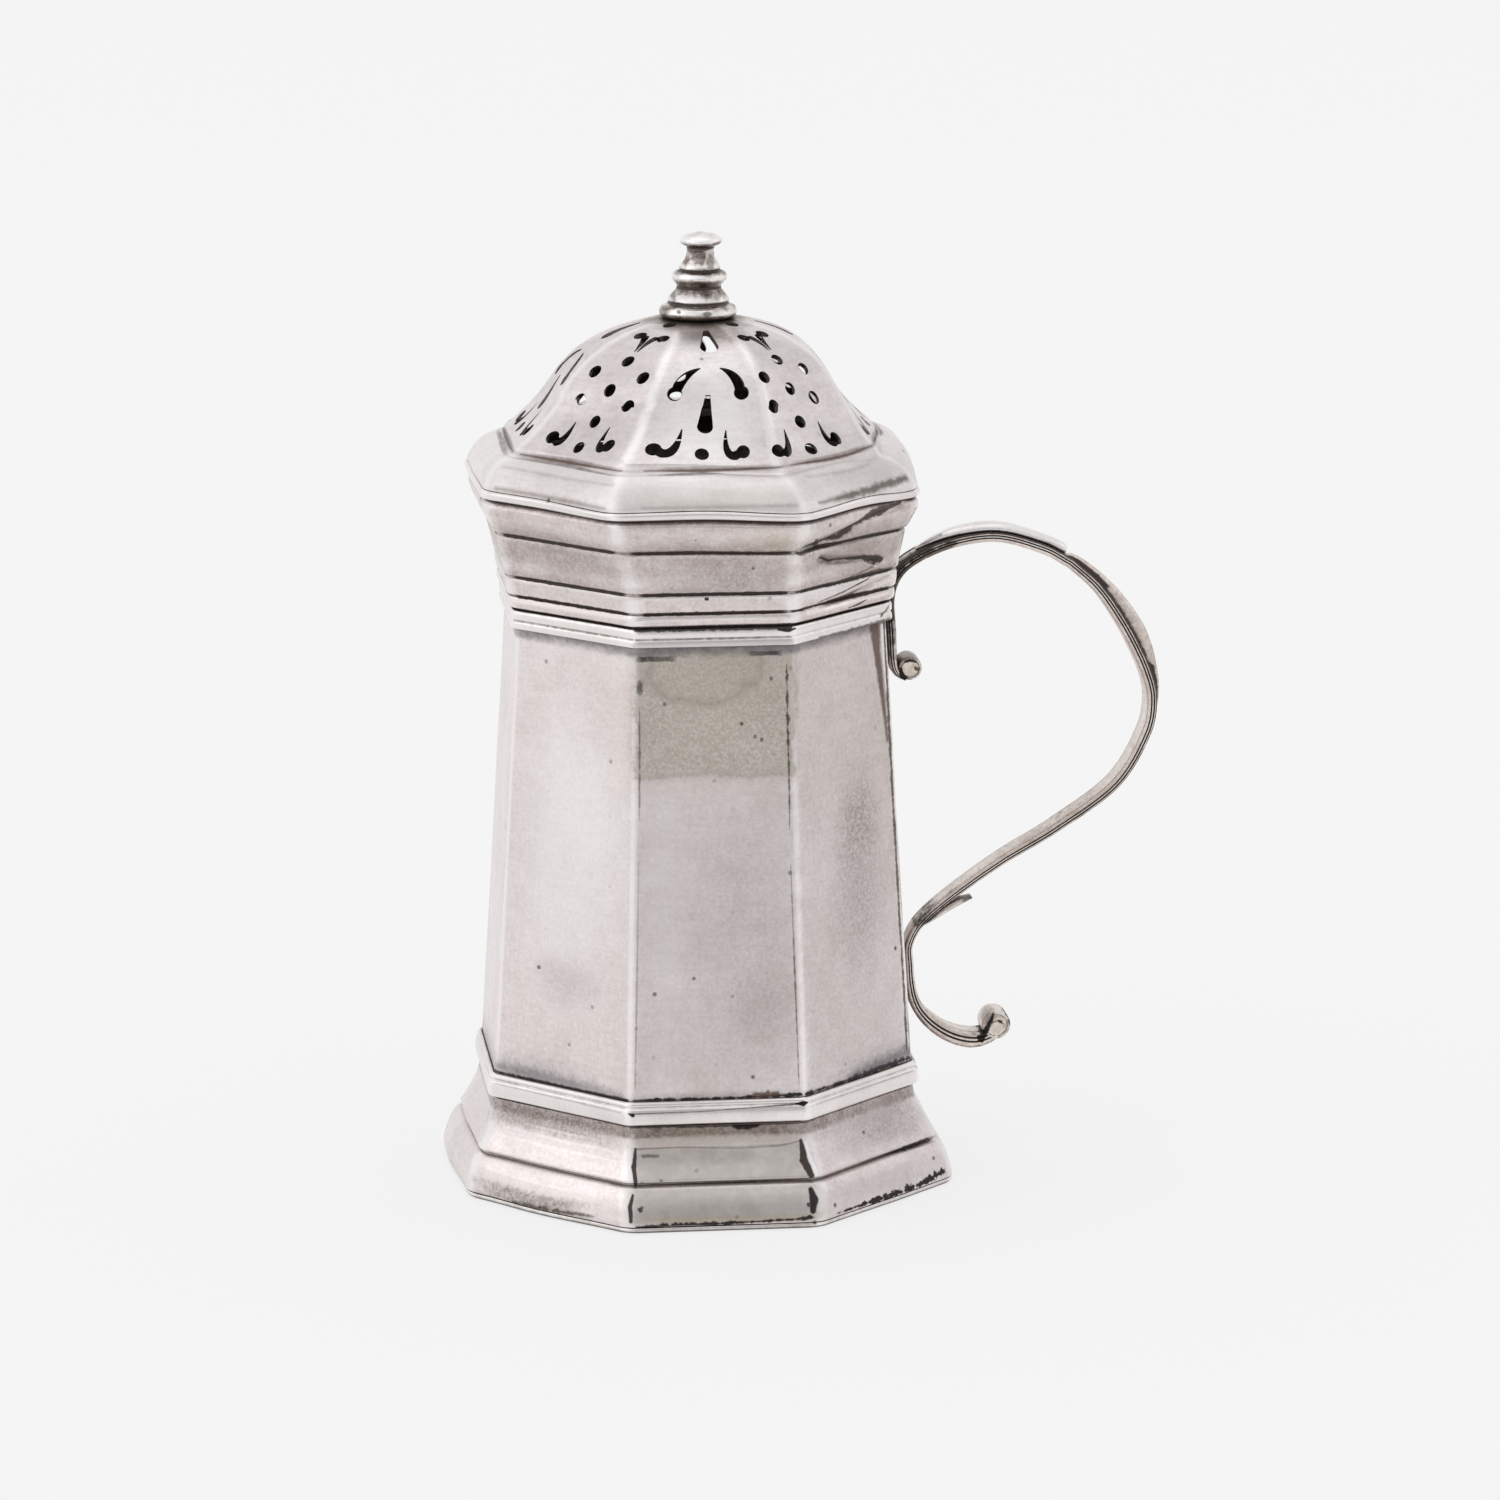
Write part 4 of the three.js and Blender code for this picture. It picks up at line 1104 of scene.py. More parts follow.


# The body


# Painted dark reflections, painted highlights, pits and streaks of the foot
FOOT_MARKS: tuple[Mark, ...] = (
    Patch(FRONT, 0.4, 7.6, 10.9, 2.1, DARK_REFLECTION, 0.85, 0.16, 0.07, outline=SQUARE, out=29.5),
    Patch(FRONT, -2.0, 8.6, 8.0, 0.9, LEAD, 0.3, 0.5, 0.9, coarse=4.0, out=29.5),
    Patch(FRONT, 0.4, 3.3, 11.1, 1.9, DARK_REFLECTION, 0.8, 0.2, 0.45, outline=SQUARE, out=31.5),
    Patch(FRONT, -2.0, 2.4, 9.0, 1.0, LEAD, 0.35, 0.5, 1.0, coarse=4.0, out=31.5),
    Patch(FRONT, 0.0, 10.8, 10.5, 1.1, OCHRE, 0.5, 0.8, 0.9, 0.3, outline=SQUARE, out=29.5),
    Patch(FRONT, 0.0, 11.5, 10.5, 0.6, UMBER, 0.6, 1.2, 0.9, 0.3, 1.2, outline=SQUARE, out=29.0),
    Patch(FRONT, 1.0, 1.45, 10.0, 0.45, OCHRE, 0.7, 0.8, 0.9, 0.2, 1.4, outline=SQUARE, out=31.5),
    Patch(LEFT, 0.0, 9.9, 11.0, 1.8, MAUVE, 0.25, 0.7, 1.4, 0.3, outline=SQUARE, out=29.5),
    Patch(LEFT, -2.0, 10.7, 8.5, 1.2, UMBER, 0.6, 1.2, 1.2, 0.5, 1.6, outline=SQUARE, out=29.5),
    Patch(RIGHT, 0.0, 9.3, 11.0, 2.8, MAUVE, 0.62, 0.8, 1.4, 0.3, outline=SQUARE, out=29.5),
    Patch(RIGHT, 4.5, 9.0, 5.5, 2.4, LEAD, 0.5, 1.0, 1.3, 0.5, 1.6, out=29.5),
    Patch(RIGHT, 0.0, 3.2, 11.0, 1.9, MAUVE, 0.42, 0.8, 1.4, 0.3, outline=SQUARE, out=31.5),
    Patch(LEFT, -1.5, 1.7, 7.5, 0.9, PEAT, 0.75, 1.6, 1.0, 0.5, 0.9, outline=SQUARE, out=31.5),
    Stroke(FRONT, 29.5, ((-10.1, 9.6, 0.3), (-10.4, 7.5, 0.6), (-10.25, 5.6, 0.4)), DIRTY, 0.95, 0.18,
           0.5),
    Stroke(FRONT, 29.5, ((-10.1, 9.6, 0.18), (-4.6, 9.65, 0.12), (2.7, 9.35, 0.1), (7.6, 9.5, 0.14),
           (10.1, 9.95, 0.2)), UMBER, 0.65, 0.25),
    Stroke(FRONT, 29.5, ((10.15, 10.0, 0.4), (10.45, 7.9, 1.1), (11.2, 6.1, 0.8)), DIRTY, 0.95, 0.18, 0.5),
    # Painted highlight beside the dark mark at the right corner.
    Stroke(FRONT, 30.5, ((10.75, 9.6, 0.3), (11.15, 7.9, 0.5), (11.9, 6.2, 0.4)), PAINTED_LIGHT, 0.8, 0.25),
    Stroke(FRONT, 29.5, ((-9.2, 8.8, 0.45), (-7.4, 8.75, 0.3)), PEAT, 0.7, 0.3),
    Stroke(FRONT, 31.5, ((11.0, 4.6, 0.6), (11.35, 3.4, 1.1), (11.2, 2.2, 0.8)), BLACK, 0.95, 0.25, 0.4),
    Stroke(FRONT, 31.5, ((-10.7, 4.6, 0.3), (-11.1, 3.3, 0.6), (-11.05, 1.6, 0.45)), DIRTY, 0.95, 0.18,
           0.5),
    Stroke(FRONT, 31.5, ((-9.95, 3.0, 0.5), (-9.85, 2.85, 0.5)), DIRTY, 0.9, 0.15),
    Stroke(FRONT, 31.5, ((10.6, 2.95, 0.4), (10.65, 2.85, 0.4)), DIRTY, 0.9, 0.15),
    Stroke(FRONT, 31.5, ((-10.4, 0.95, 0.2), (-8.5, 0.95, 0.4), (-6.0, 0.95, 0.6), (-3.9, 0.98, 0.45),
           (3.4, 1.15, 0.3), (9.6, 1.3, 0.3), (11.3, 1.45, 0.5)), BLACK, 0.95, 0.22, 3.0),
    Stroke(RIGHT, 31.5, ((-10.0, 1.2, 0.15), (-6.5, 1.2, 0.3), (-4.0, 1.25, 0.5), (-2.0, 1.2, 0.7),
           (0.0, 1.1, 0.6), (3.0, 1.2, 0.7), (6.0, 1.3, 0.6), (8.5, 1.5, 0.7), (11.2, 1.9, 0.6)), BLACK,
           0.97, 0.22, 3.6),
    Stroke(LEFT, 31.5, ((-4.2, 0.95, 0.4), (2.2, 1.1, 0.5), (8.5, 1.4, 0.2)), PEAT, 0.85, 0.4, 3.0),
    Stroke(FRONT, 28.5, ((-10.6, 12.2, 0.3), (-2.0, 12.05, 0.35), (12.0, 12.2, 0.35)), DIRTY, 0.9, 0.2),
    Stroke(FRONT, 28.8, ((1.9, 11.95, 0.5), (3.4, 11.9, 0.8), (4.9, 11.95, 0.5)), BLACK, 0.95, 0.3, 1.6),
    Stroke(FRONT, 30.5, ((-9.5, 5.5, 0.05), (2.5, 5.5, 0.2), (10.8, 5.6, 0.05)), DIRTY, 0.8, 0.12),
    Stroke(RIGHT, 30.5, ((-3.0, 5.65, 0.05), (3.0, 5.6, 0.3), (7.0, 5.6, 0.65), (11.0, 5.7, 0.5)), DIRTY,
           0.9, 0.2),
    # Painted highlight lines across the left panel.
    Stroke(LEFT, 30.5, ((-9.5, 5.35, 0.1), (0.0, 5.35, 0.2), (9.5, 5.35, 0.15)), PAINTED_LIGHT, 0.6, 0.15),
    *[Stroke(LEFT, 29.5, ((1 - wide, level, 0.1), (1.0, level - 0.1, 0.3), (1 + wide, level, 0.1)), PAINTED_LIGHT,
             strength, 0.4, 1.5)
      for level, wide, strength in ((9.9, 6.5, 0.35), (9.0, 9.0, 0.3), (8.0, 9.5, 0.4), (3.9, 8.5, 0.35))],
    *[Patch(panel, 0, 11.6, 12.0, 0.75, UMBER, 0.6, 1.1, 1.2, 0.35, 1.2, outline=SQUARE, out=28.5)
      for panel in PANEL_ANGLES],
)


@dataclass
class Foot:
    """The stepped foot and the rim wire it stands on."""

    top_radius: float = 28.3
    rim_radius: float = 33.4
    low: float = 0.8
    high: float = 12.3
    wall: float = 0.97
    soft: float = 1.3
    edge: float = 0.16
    cuts: int = 11
    arris_reach: float = 1.3
    ripple_depth: float = 0.1
    ripple_length: float = 9.0
    rim_inner: float = 31.7
    rim_height: float = 0.75
    rim_edge: float = 0.12
    outer_shares: tuple[Point, ...] = (
        (1, 0), (0.985, 0.05), (0.88, 0.19), (0.76, 0.31), (0.62, 0.385), (0.455, 0.408), (0.45, 0.42),
        (0.52, 0.43), (0.54, 0.455), (0.45, 0.515), (0.294, 0.627), (0.118, 0.776), (0.03, 0.9), (0, 1),
    )
    inner_shares: tuple[Point, ...] = (
        (0, 1), (0.1, 0.77), (0.4, 0.5), (0.42, 0.39), (0.84, 0.19), (0.95, 0),
    )
    rim_shares: tuple[Point, ...] = ((0, 0), (0.5, 0), (0.85, 0.12), (1, 0.5), (0.94, 1), (0, 1))
    drift: CornerDrift = CornerDrift()

    def build(self, shop: Workshop) -> None:
        """Models and dresses the foot and its rim wire."""
        outer = spread(self.outer_shares, self.top_radius, self.rim_radius, self.low, self.high)
        inner = spread(self.inner_shares, self.top_radius - self.wall, self.rim_radius - self.wall,
                       self.low, self.high)
        line = [*rounded(outer, self.edge), *inner]
        foot = octagon_piece("foot_swaged", line, shop.axis, self.soft, self.cuts)
        mark_arrises(foot, shop.axis, self.arris_reach)
        ripple(foot, self.ripple_depth, self.ripple_length)
        handwork(foot, shop.axis, [self.drift])
        shop.dress(foot, shop.finishes.swaged, FOOT_MARKS, inside_from=self.high)
        shop.hand_in(foot, "foot", "body")
        wire = spread(self.rim_shares, self.rim_inner, self.rim_radius, 0, self.rim_height)
        rim = octagon_piece("foot_rim_wire", rounded(wire, self.rim_edge), shop.axis, self.soft, self.cuts)
        mark_arrises(rim, shop.axis, self.arris_reach)
        handwork(rim, shop.axis, [self.drift])
        shop.dress(rim, shop.finishes.rubbed)
        shop.hand_in(rim, "foot_rim", "body")


# Stains and marks of the body's panels, with painted shade over the front and right panels and painted light
# over the left
BODY_MARKS: tuple[Mark, ...] = (
    # Painted shade over the front and right panels, painted light over the left panel and a painted light
    # streak down the front.
    Patch(FRONT, 0, 44.0, 9.8, 27.5, LEAD, 0.28, 0.3, 0.25, 0.25, outline=SQUARE, out=26),
    Patch(RIGHT, 0, 44.0, 9.8, 28.5, LEAD, 0.36, 0.3, 0.25, 0.3, outline=SQUARE, out=26),
    Patch(LEFT, 0.5, 46.0, 7.0, 15.0, PAINTED_LIGHT, 0.5, 0.6, 1.3, 0.2, 5.0, out=26),
    Patch(FRONT, -6.5, 38.0, 2.6, 20.0, PAINTED_LIGHT, 0.22, 0.5, 1.6, 0.2, 5.0, out=26),
    Patch(FRONT, 4.0, 36.0, 4.5, 14.0, LEAD, 0.22, 0.6, 1.6, 0.5, 4.0, out=26),
    Patch(FRONT, 0, 62.8, 9.4, 7.6, OLIVE, 0.65, 0.35, 0.12, 0.35, 5.0, rim=0.45, outline=SQUARE, out=24),
    Patch(FRONT, 0, 62.8, 9.2, 7.6, PEAT, 0.3, 0.5, 0.5, 1.0, 0.9, outline=SQUARE, out=24),
    Patch(FRONT, 0, 62.8, 9.2, 7.6, CREAM, 0.3, 1.4, 1.6, 0.4, 0.7, outline=SQUARE, out=24),
    Patch(FRONT, -1.5, 68.4, 6.8, 4.6, OLIVE, 0.2, 0.7, 0.2, coarse=3.0, rim=0.5, out=24),
    Patch(FRONT, 4.4, 66.4, 3.6, 4.2, OLIVE, 0.25, 0.9, 0.8, 0.3, 2.0, out=24),
    Patch(FRONT, -6.9, 69.5, 2.0, 0.3, DIRTY, 0.95, 1.2, 0.7, coarse=0.9, outline=SQUARE, out=24),
    Patch(FRONT, 6.3, 69.9, 1.8, 0.28, DIRTY, 0.9, 1.2, 0.7, coarse=0.9, outline=SQUARE, out=24),
    Patch(FRONT, -9.0, 66.0, 0.35, 0.9, DIRTY, 0.95, 0.9, 0.6, 0.3, 0.6, out=24),
    Stroke(FRONT, 24, ((-9.05, 63.5, 0.1), (-9.1, 57.0, 0.25), (-9.2, 50.0, 0.08)), UMBER, 0.7, 0.2, 3.0),
    Stroke(FRONT, 24, ((8.8, 68.5, 0.2), (8.85, 62.0, 0.3), (9.0, 56.0, 0.16), (9.05, 48.3, 0.08)), DIRTY,
           0.85, 0.2, 3.5),
    Stroke(FRONT, 25, ((9.15, 44.0, 0.08), (9.6, 30.0, 0.2), (10.0, 17.0, 0.1)), UMBER, 0.75, 0.18, 2.0),
    Stroke(FRONT, 25, ((-9.3, 45.0, 0.05), (-9.8, 25.0, 0.16), (-10.0, 17.0, 0.1)), UMBER, 0.5, 0.18, 2.0),
    Patch(FRONT, 6.2, 26.5, 3.5, 3.6, LEAD, 0.25, 0.9, 1.4, 0.4, out=26),
    Patch(LEFT, 0.0, 28.5, 4.6, 2.8, LEAD, 0.35, 0.9, 1.6, 0.4, out=26),
    Patch(LEFT, -4.2, 29.6, 0.3, 0.25, DIRTY, 0.8, 0.9, 0.8, coarse=0.6, out=26),
    Patch(RIGHT, 1.5, 39.6, 4.2, 9.5, LEAD, 0.55, 1.0, 1.7, 0.55, out=25),
    Patch(RIGHT, 2.5, 47.5, 3.2, 4.0, UMBER, 0.35, 1.0, 1.7, 0.8, out=25),
    Stroke(RIGHT, 24, ((7.0, 70.6, 2.0), (7.35, 67.5, 1.4), (7.95, 62.0, 0.9), (8.6, 56.0, 0.4)), UMBER,
           0.85, 0.6, 0.6),
    Stroke(RIGHT, 24, ((9.0, 70.5, 0.5), (9.05, 60.0, 0.5), (9.4, 40.0, 0.4), (9.9, 17.0, 0.4)), PEAT,
           0.85, 0.25, 2.0),
    # Painted highlight beside the dark streak at the right panel's edge.
    Stroke(RIGHT, 24, ((8.5, 70.3, 0.5), (8.6, 66.0, 0.4), (8.8, 62.0, 0.1)), PAINTED_LIGHT, 0.75, 0.15, 0.5),
    Stroke(FRONT, 25, ((-10.2, 15.45, 0.15), (-8.0, 15.45, 0.3), (-2.2, 15.4, 0.35), (5.2, 15.5, 0.3),
           (9.0, 15.55, 0.5), (10.3, 15.6, 0.3)), BLACK, 0.95, 0.2, 2.6),
    Stroke(LEFT, 25, ((-11.0, 15.5, 0.25), (-6.0, 15.45, 0.35), (0.0, 15.4, 0.35), (5.0, 15.4, 0.4),
           (10.3, 15.4, 0.4)), BLACK, 0.95, 0.25, 1.4),
    Stroke(LEFT, 25, ((-10.5, 16.2, 0.8), (-5.0, 16.2, 1.2), (2.0, 16.0, 1.2), (9.0, 15.8, 0.9)),
           BLUE_GREY, 0.45, 1.4, 1.4),
    Stroke(RIGHT, 25, ((-10.3, 15.6, 0.4), (-4.0, 15.5, 0.4), (3.0, 15.6, 0.7), (10.3, 15.7, 0.6)), BLACK,
           0.95, 0.3, 2.6),
    Stroke(RIGHT, 25, ((-2.0, 15.8, 0.4), (4.0, 16.3, 1.3), (10.3, 16.5, 1.4)), BLUE_GREY, 0.6, 1.3, 1.4),
    Stroke(FRONT, 25, ((4.6, 15.75, 0.5), (6.4, 15.7, 0.7), (7.4, 15.8, 0.4)), UMBER, 0.85, 0.3, 2.0),
    *[Patch(FRONT, spot, height, 0.22, 0.26, DIRTY, 0.85, 0.5, 0.5, coarse=0.5, out=24)
      for spot, height in ((3.3, 61.4), (5.7, 59.4), (4.9, 59.8), (-6.0, 64.0), (6.9, 66.8))],
    *[mark for panel, (middle, wide, tall) in zip(PANEL_ANGLES, (
        (0, 9, 2.0), (2, 8, 1.6), (-3, 7, 2.2), (3, 8, 1.8), (1, 9, 2.0), (-3.5, 6.5, 2.4), (1, 10, 0.8),
        (4, 7.5, 2.2))) for mark in (
        Patch(panel, middle, 15.2, wide, tall, BLUE_GREY, 0.6, 1.3, 1.9, 0.3, 1.3, out=26),
        Patch(panel, 0, 70.9, 10.0, 0.9, BLUE_GREY, 0.8, 0.9, 1.5, 0.2, 1.4, outline=SQUARE, out=24))],
)


# Dark lines and marks on the body's two wires
WIRE_MARKS: tuple[Mark, ...] = (
    Stroke(FRONT, 27, ((-10.5, 14.0, 0.16), (-2.2, 14.05, 0.1), (10.4, 14.6, 0.2)), DIRTY, 0.8, 0.12, 1.0),
    Stroke(FRONT, 27, ((-10.95, 14.05, 0.1), (-10.4, 13.85, 0.5)), BLACK, 0.97, 0.12, 0.6),
    Stroke(FRONT, 27, ((9.6, 14.6, 0.2), (10.5, 14.65, 0.65), (11.1, 14.7, 0.15)), BLACK, 0.97, 0.12, 0.6),
    Stroke(LEFT, 27, ((-10.0, 14.2, 0.1), (4.0, 14.1, 0.2), (10.0, 14.0, 0.1)), LEAD, 0.6, 0.3, 1.5),
    Stroke(RIGHT, 27, ((-9.5, 14.2, 0.1), (0.0, 14.2, 0.2), (10.0, 14.2, 0.15)), LEAD, 0.6, 0.3, 1.5),
    Stroke(FRONT, 24, ((7.8, 72.9, 0.3), (9.0, 72.8, 0.45), (9.8, 72.95, 0.2)), BLACK, 0.95, 0.12, 0.8),
    Stroke(RIGHT, 24, ((7.4, 71.7, 0.25), (8.3, 72.2, 0.4), (8.9, 72.75, 0.2)), PEAT, 0.85, 0.2, 1.0),
    Stroke(RIGHT, 24, ((-4.8, 71.0, 0.35), (2.1, 70.95, 0.5), (9.1, 71.0, 0.7)), PEAT, 0.8, 0.3, 1.6),
    Stroke(FRONT, 24, ((-9.5, 71.95, 0.12), (0.0, 71.95, 0.2), (9.3, 71.95, 0.12)), UMBER, 0.75, 0.2, 2.0),
    Stroke(FRONT, 24, ((-9.5, 71.3, 0.8), (9.3, 71.3, 0.8)), LEAD, 0.35, 0.5, 0.5),
    Stroke(LEFT, 24, ((-9.5, 71.95, 0.12), (0.0, 71.95, 0.2), (9.3, 71.95, 0.12)), UMBER, 0.7, 0.2, 2.0),
    Stroke(FRONT, 24, ((-9.5, 73.1, 0.35), (0.0, 73.1, 0.4), (9.3, 73.1, 0.35)), BLACK, 0.9, 0.2, 1.5),
)


@dataclass
class Body:
    """The tapered eight-sided body and its two moulded wires."""

    low: float = 12.35
    high: float = 73.05
    bottom_radius: float = 28.22
    top_radius: float = 24.41
    wall: float = 0.92
    seam: float = 0.054
    soft: float = 0.65
    cuts: int = 11
    rows_apart: float = 1.9
    inner_rows_apart: float = 8.0
    arris_reach: float = 0.6
    ripple_depth: float = 0.22
    ripple_length: float = 14.0
    wire_soft: float = 0.6
    wire_cuts: int = 9
    wire_edge: float = 0.12
    wire_arris_reach: float = 0.8
    wire_ripple_depth: float = 0.05
    wire_ripple_length: float = 6.0
    lower_height: float = 2.95
    lower_depth: float = 0.8
    top_low: float = 70.9
    top_height: float = 2.35
    top_depth: float = 0.82
    lower_shares: tuple[Point, ...] = (
        (0.3, 0), (0.78, 0.06), (1, 0.2), (1, 0.5), (0.86, 0.7), (0.5, 0.77), (0.72, 0.83), (0.66, 0.94),
        (0.35, 1),
    )
    top_shares: tuple[Point, ...] = (
        (0.45, 0), (0.85, 0.04), (0.95, 0.16), (0.93, 0.36), (0.68, 0.46), (0.95, 0.55), (1, 0.72),
        (0.97, 0.88), (0.75, 1),
    )

    def radius_at(self, height: float) -> float:
        """Corner radius of the outer face at a height."""
        return mix(self.bottom_radius, self.top_radius, (height - self.low) / (self.high - self.low))

    def wire_line(self, shares: Sequence[Point], low: float, height: float, depth: float) -> Line:
        """Section of a wire that lies on the tapered body."""
        outer = []
        for out, up in shares:
            level = low + height * up
            outer.append((self.radius_at(level) + self.seam + depth * out, level))
        start = (self.radius_at(low) + self.seam, low)
        end = (self.radius_at(low + height) + self.seam, low + height)
        return rounded([start, *outer, end], self.wire_edge)

    def build(self, shop: Workshop) -> None:
        """Models and dresses the shell and its wires."""
        outside: Line = [(self.bottom_radius, self.low), (self.top_radius, self.high)]
        inside = [(radius - self.wall, height) for radius, height in reversed(outside)]
        line = [*divided(outside, self.rows_apart), *divided(inside, self.inner_rows_apart)]
        shell = octagon_piece("body_panels", line, shop.axis, self.soft, self.cuts)
        mark_arrises(shell, shop.axis, self.arris_reach)
        ripple(shell, self.ripple_depth, self.ripple_length)
        shop.dress(shell, shop.finishes.satin, BODY_MARKS, inside_from=mix(self.low, self.high, 0.5))
        shop.hand_in(shell, "body_shell", "body")
        lower = self.wire_line(self.lower_shares, self.low, self.lower_height, self.lower_depth)
        top = self.wire_line(self.top_shares, self.top_low, self.top_height, self.top_depth)
        wires = (("lower_moulding", "lower_wire", lower), ("mouth_moulding", "top_wire", top))
        for name, node, line in wires:
            wire = octagon_piece(name, line, shop.axis, self.wire_soft, self.wire_cuts)
            mark_arrises(wire, shop.axis, self.wire_arris_reach)
            ripple(wire, self.wire_ripple_depth, self.wire_ripple_length)
            shop.dress(wire, shop.finishes.bright, WIRE_MARKS)
            shop.hand_in(wire, node, "body")


# The cover


# Pinhole of the front, painted shade and painted highlights along the right panel's creases, and films of
# the band that are partly painted shade of its steps
BAND_MARKS: tuple[Mark, ...] = (
    Stroke(FRONT, 25, ((-1.05, 77.0, 0.42), (-0.95, 77.0, 0.42)), BLACK, 0.95, 0.1),
    # Painted shade along the dents of the right panel, with painted highlights on their ridges.
    Stroke(RIGHT, 26, ((-8.1, 83.6, 0.35), (-3.6, 83.5, 0.6), (-1.3, 84.8, 1.0), (0.7, 85.65, 1.4),
           (3.6, 85.75, 1.4), (7.6, 86.2, 0.5)), DIRTY, 0.9, 0.3, 0.8),
    Stroke(RIGHT, 26, ((-9.9, 82.9, 0.8), (-8.4, 83.2, 1.1), (-6.8, 83.1, 0.7)), DIRTY, 0.85, 0.35, 4.0),
    Stroke(RIGHT, 26, ((-6.0, 82.5, 0.2), (-1.2, 82.45, 0.45), (4.7, 82.6, 0.5), (9.6, 82.8, 0.3)), LEAD,
           0.9, 0.4, 0.8),
    Stroke(RIGHT, 25, ((-5.7, 81.2, 0.3), (-3.9, 80.5, 0.35), (-0.7, 80.25, 0.3), (2.5, 79.95, 0.6),
           (4.8, 79.5, 1.0), (6.2, 79.0, 0.7)), DIRTY, 0.92, 0.22, 1.2),
    Stroke(RIGHT, 25, ((6.2, 79.1, 0.5), (5.0, 78.5, 0.25), (0.5, 77.95, 0.2)), UMBER, 0.7, 0.25),
    Stroke(RIGHT, 25, ((-3.9, 79.9, 0.12), (2.2, 79.35, 0.25), (5.6, 78.35, 0.12)), PAINTED_LIGHT, 0.65, 0.3),
    Stroke(RIGHT, 25, ((-9.5, 77.5, 0.3), (-1.5, 77.55, 0.65), (4.5, 77.6, 0.75), (8.8, 77.6, 0.5)), UMBER,
           0.92, 0.35, 1.0),
    Stroke(RIGHT, 25, ((-5.5, 75.55, 0.12), (-0.7, 76.15, 0.22), (4.1, 77.0, 0.2)), DIRTY, 0.85, 0.15),
    Stroke(RIGHT, 25, ((-3.5, 75.4, 0.3), (2.5, 75.1, 0.6), (8.0, 75.3, 0.35)), LEAD, 0.9, 0.3),
    Stroke(RIGHT, 25, ((-9.8, 75.1, 0.25), (-3.5, 75.15, 0.3)), UMBER, 0.85, 0.2),
    Stroke(RIGHT, 25, ((0.6, 73.9, 0.15), (2.5, 74.1, 0.3), (4.0, 74.35, 0.2)), BLACK, 0.85, 0.15),
    # Painted highlight across the right panel.
    Patch(RIGHT, 0.0, 76.6, 9.5, 0.9, PAINTED_LIGHT, 0.35, 0.6, 1.0, out=25),
    Patch(FRONT, 2.0, 79.0, 6.0, 1.0, PEAT, 0.35, 1.0, 1.4, 0.5, 1.2, out=26),
    Patch(FRONT, 6.0, 84.0, 4.0, 1.6, OCHRE, 0.5, 1.0, 1.4, 0.5, 1.2, out=26),
    # Brown bands along the steps of every panel, tarnish film and painted shade of the steps together.
    *[Patch(panel, shift, level, wide, tall, UMBER, strength, 0.9, 1.6, 0.35, 1.8, out=26)
      for panel in PANEL_ANGLES for shift, level, wide, tall, strength in (
          (-1.0, 83.0, 10.0, 1.3, 0.55), (1.5, 80.6, 9.0, 1.4, 0.5), (-0.5, 77.9, 9.5, 0.8, 0.45))],
)


@dataclass
class CoverBand:
    """The flared band with its reeded steps, buckled on the panel right of the front."""

    low: float = 73.55
    high: float = 87.25
    bottom_radius: float = 25.3
    top_radius: float = 29.25
    wall: float = 0.86
    soft: float = 0.9
    edge: float = 0.14
    cuts: int = 21
    rows_apart: float = 0.3
    arris_reach: float = 1.5
    groove_reach: float = 0.3
    gleam_reach: float = 0.2
    clean_corner_share: float = 0.85
    ripple_depth: float = 0.14
    ripple_length: float = 7.0
    outer_shares: tuple[Point, ...] = (
        (0, 0), (0.08, 0.02), (0.1, 0.06), (0.07, 0.1), (0, 0.115), (0.11, 0.13), (0.16, 0.2), (0.17, 0.27),
        (0.1, 0.29), (0.22, 0.31), (0.29, 0.4), (0.38, 0.5), (0.5, 0.61), (0.54, 0.66), (0.48, 0.68),
        (0.62, 0.7), (0.76, 0.765), (0.92, 0.84), (1, 0.88), (1, 0.94), (0.92, 0.975), (0.86, 1),
    )
    inner_shares: tuple[Point, ...] = (
        (0.82, 1), (0.82, 0.88), (0.72, 0.78), (0.45, 0.61), (0.26, 0.4), (0.1, 0.2), (0, 0),
    )
    groove_shares: tuple[float, ...] = (0.117, 0.293, 0.682)
    gleam_shares: tuple[float, ...] = (0.07, 0.262, 0.648)
    creases: tuple[Crease, ...] = (
        Crease(RIGHT, ((-9.6, 82.9), (-5.0, 83.6), (-1.3, 84.7), (2.0, 85.5), (8.0, 86.1)), 0.65, 0.95),
        Crease(RIGHT, ((-5.7, 81.2), (-3.0, 80.4), (2.5, 79.8), (5.9, 79.0)), 0.6, 0.85),
        Crease(RIGHT, ((-7.5, 74.6), (1.0, 75.3), (8.8, 76.5)), 0.5, 0.5),
        Crease(RIGHT, ((-3.0, 78.4), (9.0, 80.6)), 1.2, -0.3),
    )
    drift: CornerDrift = CornerDrift()

    def build(self, shop: Workshop) -> None:
        """Models and dresses the band."""
        outer = spread(self.outer_shares, self.bottom_radius, self.top_radius, self.low, self.high)
        outer = divided(rounded(outer, self.edge), self.rows_apart)
        inner = spread(self.inner_shares, self.bottom_radius - self.wall, self.top_radius - self.wall,
                       self.low, self.high)
        band = octagon_piece("flared_band", [*outer, *inner], shop.axis, self.soft, self.cuts)
        mark_arrises(band, shop.axis, self.arris_reach)
        grooves = [mix(self.low, self.high, share) for share in self.groove_shares]
        gleams = [mix(self.low, self.high, share) for share in self.gleam_shares]
        mark_levels(band, "grime", grooves, self.groove_reach, self.clean_corner_share)
        # Painted highlight lines just below the grooves, in the attribute that lightens the metal.
        mark_levels(band, "wear_and_highlight", gleams, self.gleam_reach)
        ripple(band, self.ripple_depth, self.ripple_length)
        handwork(band, shop.axis, [self.drift, *self.creases])
        shop.dress(band, shop.finishes.smoky, BAND_MARKS, inside_from=self.low)
        shop.hand_in(band, "cover_band", "cover")
